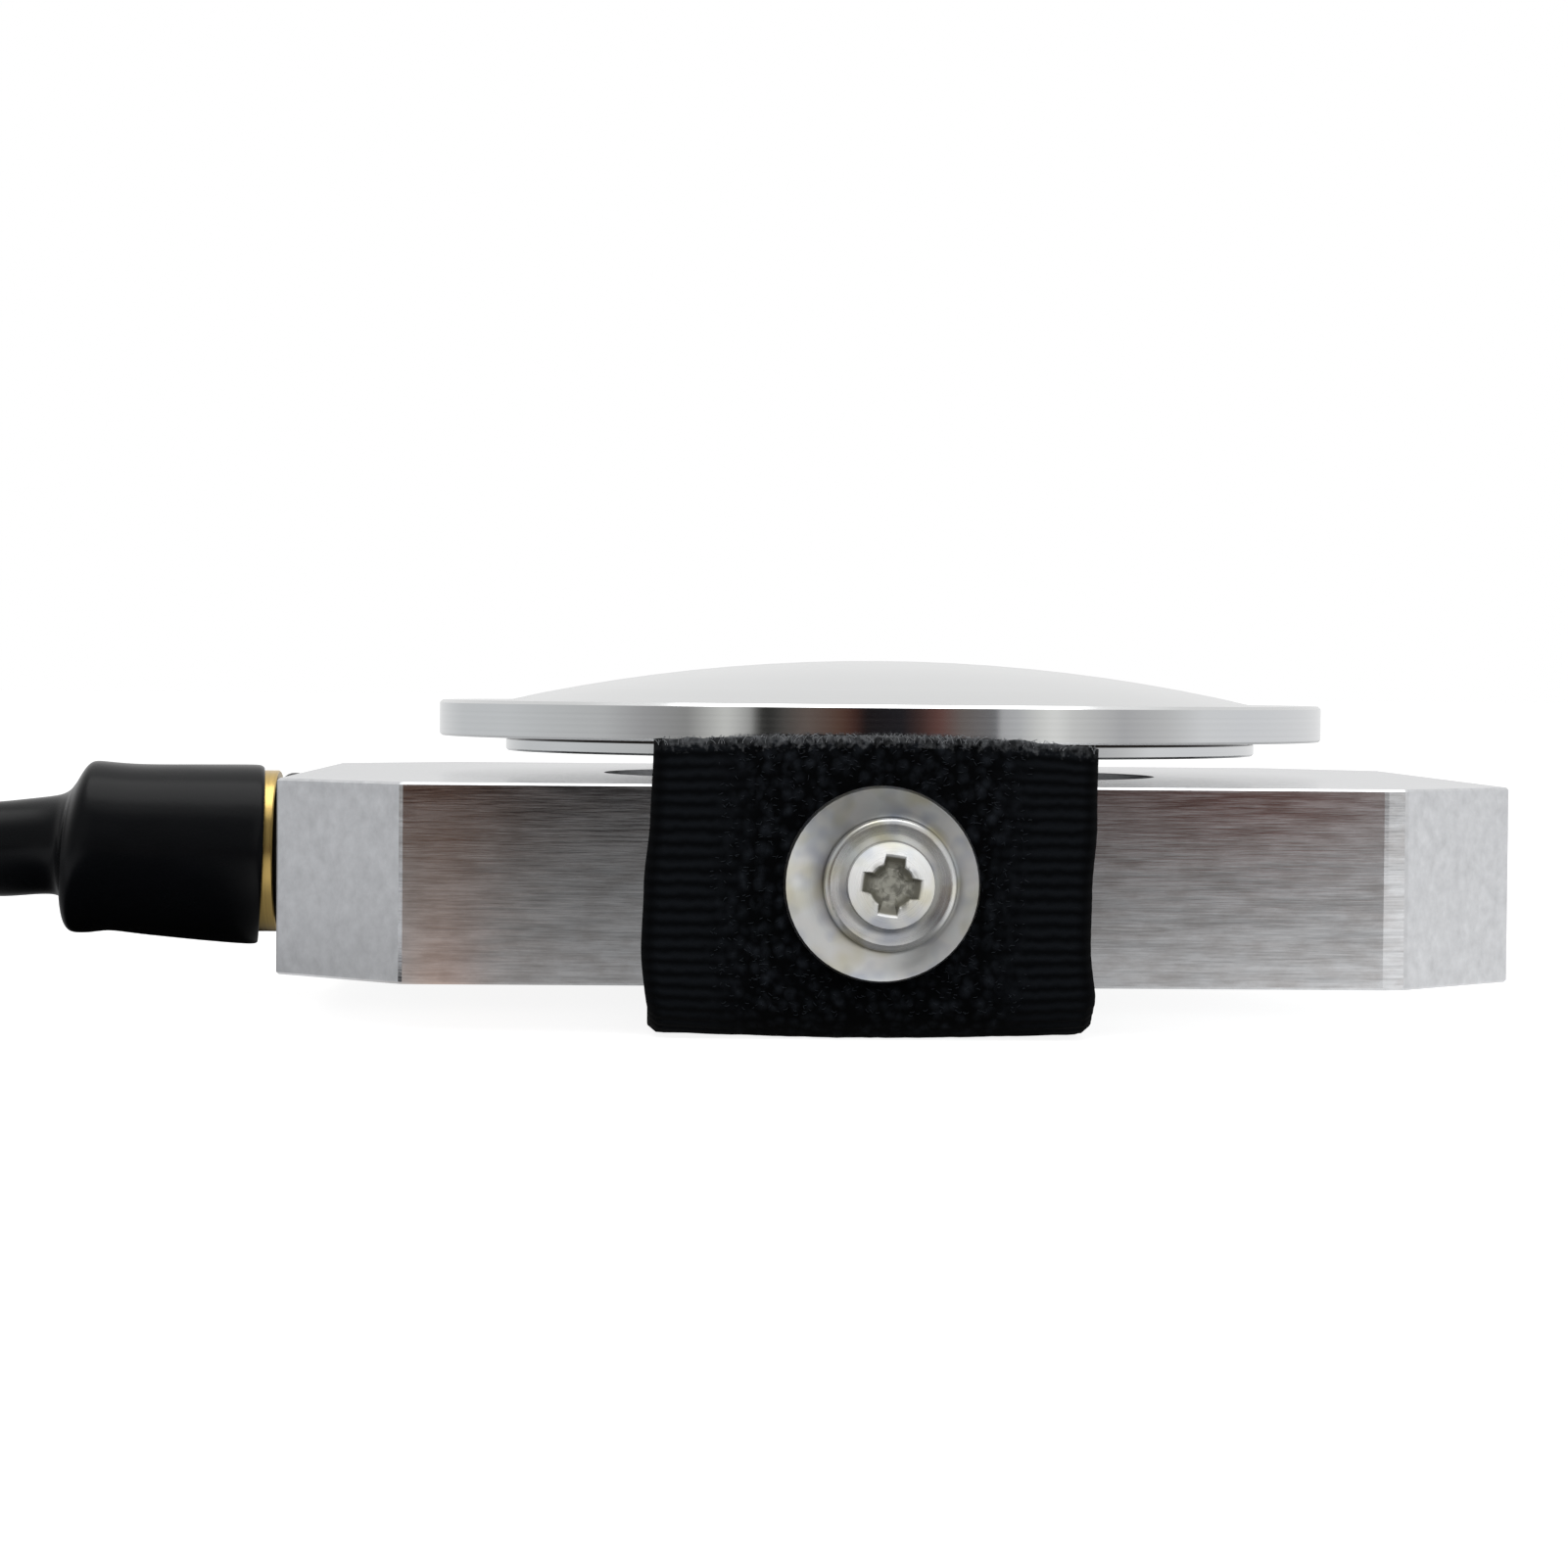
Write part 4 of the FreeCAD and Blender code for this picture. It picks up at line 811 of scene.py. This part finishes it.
    def tones(self, add, place, stops, unit):
        """Tones along a line, from stops of place, counted in a unit, and sRGB hex."""
        begin, end = stops[0][0], stops[-1][0]
        share = add("MapRange", [place, begin * unit, end * unit])
        made = add("ValToRGB", {"Fac": share})
        elements = made.color_ramp.elements
        while len(elements) < len(stops):
            elements.new(0.5)
        for element, (at, tone) in zip(elements, stops):
            element.position = (at - begin) / (end - begin)
            element.color = linear(tone) + [1.0]
        return made

    def stage_piece(self, name, mesh, material, hidden=False):
        """A floor or wall of the studio; a hidden one is seen only in polished surfaces."""
        data = bpy.data.meshes.new(name)
        mesh.to_mesh(data)
        mesh.free()
        data.materials.append(material)
        made = bpy.data.objects.new(name, data)
        bpy.context.scene.collection.objects.link(made)
        if hidden:
            made.visible_camera = made.visible_diffuse = False
            made.visible_shadow = made.visible_transmission = False


class LOADCELL_OT_cable(bpy.types.Operator):
    """Makes the cable from the boot through its coil to the plug"""

    bl_idname = "load_cell.cable"
    bl_label = "Cable"

    def execute(self, context):
        sizes, colours = context.scene.load_cell_sizes, context.scene.load_cell_colours
        # Extruded PVC: smooth, half matt, with a faint waviness from the die.
        material = plain_finish("extruded_pvc_sheath", colours.sheath, 0.42, 6, 0.02)
        line = [[part * MM for part in point]
                for point in RUN_POINTS + self.coil_points() + TAIL_POINTS]
        cable = tubes("signal_cable", "NURBS", [line], sizes.cable, 5)
        cable.data.resolution_u = 5
        spline = cable.data.splines[0]
        spline.order_u, spline.use_endpoint_u = 3, True
        keep(cable, material, ["cable_run", "cable_coil", "cable_tail"])
        dress(material, "cable_inner")
        context.scene["load_cell_cable"] = cable.name
        return {"FINISHED"}

    def coil_points(self):
        """The coil's turns, clockwise from above, filling one column and layer after another."""
        points = []
        share = COIL_TURNS / len(COIL_CELLS)
        count = round(COIL_TURNS * COIL_STEPS)
        for step in range(1, count):
            turns = step / COIL_STEPS
            cell = min(int(turns / share), len(COIL_CELLS) - 1)
            last = min(cell + 1, len(COIL_CELLS) - 1)
            # The last 18 hundredths of a cell's run lead over into the next cell.
            into = smooth(turns / share - cell, 0.82, 1.0)
            column, layer = (a + (b - a) * into for a, b in zip(COIL_CELLS[cell], COIL_CELLS[last]))
            radius = COIL_INNER + COIL_PITCH * (column - 1)
            height = COIL_FLOOR + COIL_PITCH * (layer - 1)
            # The cable comes in from outside the coil and leaves over its top, clear of the ties.
            radius += 4.6 * (1 - smooth(turns, 0.0, 0.1))
            height += 4.55 * smooth(turns, COIL_TURNS - 0.043, COIL_TURNS)
            bearing = math.radians(COIL_START - 360 * turns)
            points.append((COIL_CENTRE[0] + radius * math.cos(bearing),
                           COIL_CENTRE[1] + radius * math.sin(bearing), height))
        return points


class LOADCELL_OT_cable_fittings(bpy.types.Operator):
    """Makes the boot, the coil's ties and the plug's grip, and keeps the put-away cable and plug out of the
    metal's reflections
    """

    bl_idname = "load_cell.cable_fittings"
    bl_label = "Boot, ties and plug"

    def execute(self, context):
        sizes, colours = context.scene.load_cell_sizes, context.scene.load_cell_colours
        # Polyolefin shrunk on with hot air: smooth, half glossy, a little wavy over what it hides.
        sleeve = plain_finish("shrunk_polyolefin", colours.sleeve, 0.26, (5, 2.5, 2.5), 0.02, specular=0.13)
        # Hook-and-loop tie: dull, with a short level nap.
        nap = plain_finish("brushed_nylon_tie", linear("1b1c1f"), 0.85, (0.5, 0.5, 0.35), 0.1, specular=0.2)
        # Moulded PVC with the fine spark texture of its mould.
        moulded = plain_finish("moulded_pvc_plug", colours.plug, 0.5, 0.25, 0.015)
        # Glass-filled nylon insert, matt.
        insert = plain_finish("moulded_nylon_insert", linear("232325"), 0.6, 0.4, 0.02)
        boot = self.make_boot(sleeve)
        ties = self.make_ties(sizes, nap)
        grip = self.make_grip(moulded)
        dress(insert, "plug_insert")
        nodes = frame["nodes"]
        cable = bpy.data.objects[context.scene["load_cell_cable"]]
        carried = [nodes[name] for name in (
            "gland_body", "gland_seal", "cable_grommet", "cable_inner", "plug_shell",
            "plug_insert", "plug_pins")]
        # The photograph has no coil, so the put-away cable isn't mirrored in the metal.
        for piece in [cable, ties, grip] + carried[4:]:
            piece.visible_glossy = False
        return {"FINISHED"}

    def make_boot(self, material):
        """The shrunk boot: tight over the gland, wrinkled down to the cable, cut by hand."""
        mesh = bmesh.new()
        ring = bmesh.ops.create_circle(mesh, segments=56, radius=1.0)["verts"]
        angles = [math.atan2(vert.co.y, vert.co.x) for vert in ring]
        edges = list({edge for vert in ring for edge in vert.link_edges})
        order = sorted(angles)
        for count, (x_top, top, x_low, low, half) in enumerate(BOOT_RINGS):
            if count:
                made = bmesh.ops.extrude_edge_only(mesh, edges=edges)["geom"]
                edges = [item for item in made if isinstance(item, bmesh.types.BMEdge)]
                fresh = [item for item in made if isinstance(item, bmesh.types.BMVert)]
                ring = sorted(fresh, key=lambda vert: math.atan2(vert.co.z - middle, vert.co.y))
            else:
                ring = [vert for angle, vert in sorted(zip(angles, ring), key=lambda pair: pair[0])]
            middle = (top + low) / 2 * MM
            for angle, vert in zip(order, ring):
                rise, aside = math.sin(angle), half * math.cos(angle)
                x = (x_top + x_low) / 2 + (x_top - x_low) / 2 * rise
                x -= BOOT_CUT * aside * (1 - smooth(-x, 42.0, 50.0))
                vert.co = Vector((x * MM, aside * MM, middle + (top - low) / 2 * rise * MM))
        bmesh.ops.bridge_loops(mesh, edges=[edge for edge in mesh.edges if edge.is_boundary])
        boot = new_piece("cable_boot", mesh, material, ["shrink_boot"])
        soften = boot.modifiers.new("soft", "SUBSURF")
        soften.levels = soften.render_levels = 2
        return boot

    def make_ties(self, sizes, material):
        """Two hook-and-loop ties, each once round the coil with its tail laid over itself."""
        mesh = bmesh.new()
        thick, bend = sizes.tie_thick, 3.0 * MM
        low, high, top = 16.65 * MM, 37.1 * MM, 15.7 * MM
        for angle in TIE_ANGLES:
            wide, tall = high - low - 2 * bend, top - 2 * bend
            turn = (bend * math.pi / 2, bend)
            loop = [(wide * 0.35, 0), turn, (tall, 0), turn, (wide, 0), turn, (tall, 0), turn,
                    (wide * 0.65, 0)]
            length = sum(piece[0] for piece in loop)
            begin = Vector((low + bend + wide * 0.65, 0.0))
            bearing = math.radians(angle)
            out = Vector((math.cos(bearing), math.sin(bearing), 0))
            side = Vector((-math.sin(bearing), math.cos(bearing), 0))
            hub = Vector((COIL_CENTRE[0] * MM, COIL_CENTRE[1] * MM, 0))
            # The loop's ends stop just short of each other under the coil.
            for start_at, run, lift in ((0.0, length - 0.1 * MM, 0.0),
                                        (length * 0.44, length * 0.2, 1.0)):
                places = strip(mesh, sizes.tie_width, run, thick, 12, round(run / (0.5 * MM)))
                for vert, (across, along, depth) in places.items():
                    point, inward = walk(loop, begin, 0.0, start_at + along)
                    edge = 0.0 if depth else max(0.0, abs(across) / sizes.tie_width - 0.42)
                    worn = edge ** 2 * 40 * MM
                    rise = lift * thick * 0.9 * smooth(along, -run * 0.1, run * 0.15)
                    point = point + inward * (depth * (0.8 if lift else 1) + worn - rise)
                    vert.co = hub + out * point.x + side * across + Vector((0, 0, point.y))
        return new_piece("coil_tie_wraps", mesh, material, ["coil_ties"])

    def make_grip(self, material):
        """The moulded grip with its finger rings and ringed strain relief, spun in one."""
        mesh = bmesh.new()
        line = [mesh.verts.new((radius * MM, 0, along * MM)) for along, radius in GRIP_OUTLINE]
        edges = [mesh.edges.new(pair) for pair in zip(line, line[1:])]
        bmesh.ops.spin(mesh, geom=line + edges, cent=(0, 0, 0), axis=(0, 0, 1), angle=math.tau,
                       steps=64, use_merge=True)
        bmesh.ops.remove_doubles(mesh, verts=mesh.verts[:], dist=0.005 * MM)
        lay = Matrix.Translation([part * MM for part in GRIP_START])
        bmesh.ops.transform(mesh, verts=mesh.verts[:],
                            matrix=lay @ Matrix.Rotation(math.radians(90), 4, "X"))
        grip = new_piece("plug_hand_grip", mesh, material, ["plug_grip"])
        rounded = grip.modifiers.new("rounded", "BEVEL")
        rounded.width, rounded.segments = 0.12 * MM, 2
        rounded.limit_method, rounded.angle_limit = "ANGLE", math.radians(35)
        return grip


class LOADCELL_OT_metal(bpy.types.Operator):
    """Gives the block, the foot plate, the fasteners and the gland their metal finishes"""

    bl_idname = "load_cell.metal"
    bl_label = "Metal pieces"

    def execute(self, context):
        colours = context.scene.load_cell_colours
        dress(brushed_aluminium_billet(colours.billet), "body_block", "bottom_cover")
        dress(turned_aluminium(colours.turned), "foot_disc", "load_flange")
        for name, node, axis, metallic, roughness, dome in (
                ("bright_zinc_screw", "strap_screws", SCREW_AXIS, 0.25, 0.28, SCREW_DOME),
                ("bright_zinc_washer", "flat_washers", SCREW_AXIS, 1.0, 0.26, None),
                ("bright_zinc_cup", "cup_washers", CUP_AXIS, 1.0, 0.31, None)):
            dress(bright_zinc(name, colours.zinc, axis, metallic, roughness, dome), node)
        # Stainless steel, cold headed or ground: bright, with fine drawn lines.
        steel = plain_finish("headed_stainless_steel", linear("c4c5c6"), 0.26, 0.3, 0.004, metallic=1.0)
        dress(steel, "cap_screws", "hub_screw", "hub_dowels", "cover_screws", "plug_shell")
        # Brass turned on a lathe: yellow, with tool marks 0.2 mm apart along its axis.
        brass = plain_finish("turned_brass", colours.brass, 0.24, (0.2, 30, 30), 0.006, metallic=1.0)
        dress(brass, "gland_body", "plug_pins")
        return {"FINISHED"}


class LOADCELL_OT_straps(bpy.types.Operator):
    """Makes the two webbing straps with their pile and frayed ends"""

    bl_idname = "load_cell.straps"
    bl_label = "Straps"

    def execute(self, context):
        sizes, colours = context.scene.load_cell_sizes, context.scene.load_cell_colours
        # Loose polyester fibres: fine, dull, worn grey at the cut end.
        materials = {
            "webbing": pile_webbing(colours.webbing, colours.fray, sizes),
            "pile": plain_finish("polyester_loops", shade(colours.webbing, 3.0)[:3], 0.8, 2, 0.01,
                                 specular=0.15),
            "fray": plain_finish("worn_polyester_fibre", colours.fray, 0.85, 1.5, 0.01, specular=0.2),
        }
        for strap in STRAPS:
            make_strap(strap, sizes, materials)
        return {"FINISHED"}


class LOADCELL_OT_inside(bpy.types.Operator):
    """Gives the seals, the board, the gauges and the wires their finishes"""

    bl_idname = "load_cell.inside"
    bl_label = "Seals and inside"

    def execute(self, context):
        colours = context.scene.load_cell_colours
        # Nitrile rubber: matt black with a faint bloom.
        dress(plain_finish("moulded_nitrile_rubber", linear("141416"), 0.62, 0.8, 0.02),
              "gland_seal", "cable_grommet", "cover_gasket")
        # Glass-fibre laminate under green lacquer: glossy, with the weave just showing.
        dress(plain_finish("lacquered_laminate", colours.board, 0.3, (0.6, 0.6, 2), 0.01), "bridge_board")
        dress(gauge_foil(), "strain_gauges")
        # Tinned copper wire: soft, greyish and bright.
        dress(plain_finish("tinned_copper_wire", linear("c2bfba"), 0.3, 0.3, 0.01, metallic=1.0),
              "gauge_leads")
        # Glazed chip resistor: black glass over a pale body.
        dress(plain_finish("glazed_chip", linear("161616"), 0.25, 0.3, 0.01), "trim_resistors")
        # PVC core insulation, one colour for each core.
        for name, hex_code in (("red", "a81d1a"), ("black", "151515"), ("green", "1e7a3c"),
                               ("white", "dcdad4")):
            dress(plain_finish("pvc_core_" + name, linear(hex_code), 0.45, 1.5, 0.01), "wire_" + name)
        return {"FINISHED"}


OPERATORS = (LOADCELL_OT_stage, LOADCELL_OT_cable, LOADCELL_OT_cable_fittings, LOADCELL_OT_metal,
             LOADCELL_OT_straps, LOADCELL_OT_inside)


class LOADCELL_PT_sidebar(bpy.types.Panel):
    """Lists the steps that finish the load cell and what can be changed"""

    bl_idname = "LOADCELL_PT_sidebar"
    bl_label = "Brake pedal load cell"
    bl_space_type = "VIEW_3D"
    bl_region_type = "UI"
    bl_category = "Load cell"

    def draw(self, context):
        for group in (context.scene.load_cell_sizes, context.scene.load_cell_colours):
            box = self.layout.box()
            for name in type(group).__annotations__:
                box.prop(group, name)
        for operator in OPERATORS:
            self.layout.operator(operator.bl_idname)


CLASSES = (LoadCellSizes, LoadCellColours) + OPERATORS + (LOADCELL_PT_sidebar,)


def register():
    """Makes the classes and their settings known to Blender."""
    for known in CLASSES:
        bpy.utils.register_class(known)
    bpy.types.Scene.load_cell_sizes = bpy.props.PointerProperty(type=LoadCellSizes)
    bpy.types.Scene.load_cell_colours = bpy.props.PointerProperty(type=LoadCellColours)


def unregister():
    """Takes the settings and classes out again."""
    del bpy.types.Scene.load_cell_colours
    del bpy.types.Scene.load_cell_sizes
    for known in reversed(CLASSES):
        bpy.utils.unregister_class(known)


def main():
    """Runs the steps in order."""
    register()
    bpy.ops.load_cell.stage()
    bpy.ops.load_cell.cable()
    bpy.ops.load_cell.cable_fittings()
    bpy.ops.load_cell.metal()
    bpy.ops.load_cell.straps()
    bpy.ops.load_cell.inside()


if __name__ == "__main__":
    main()
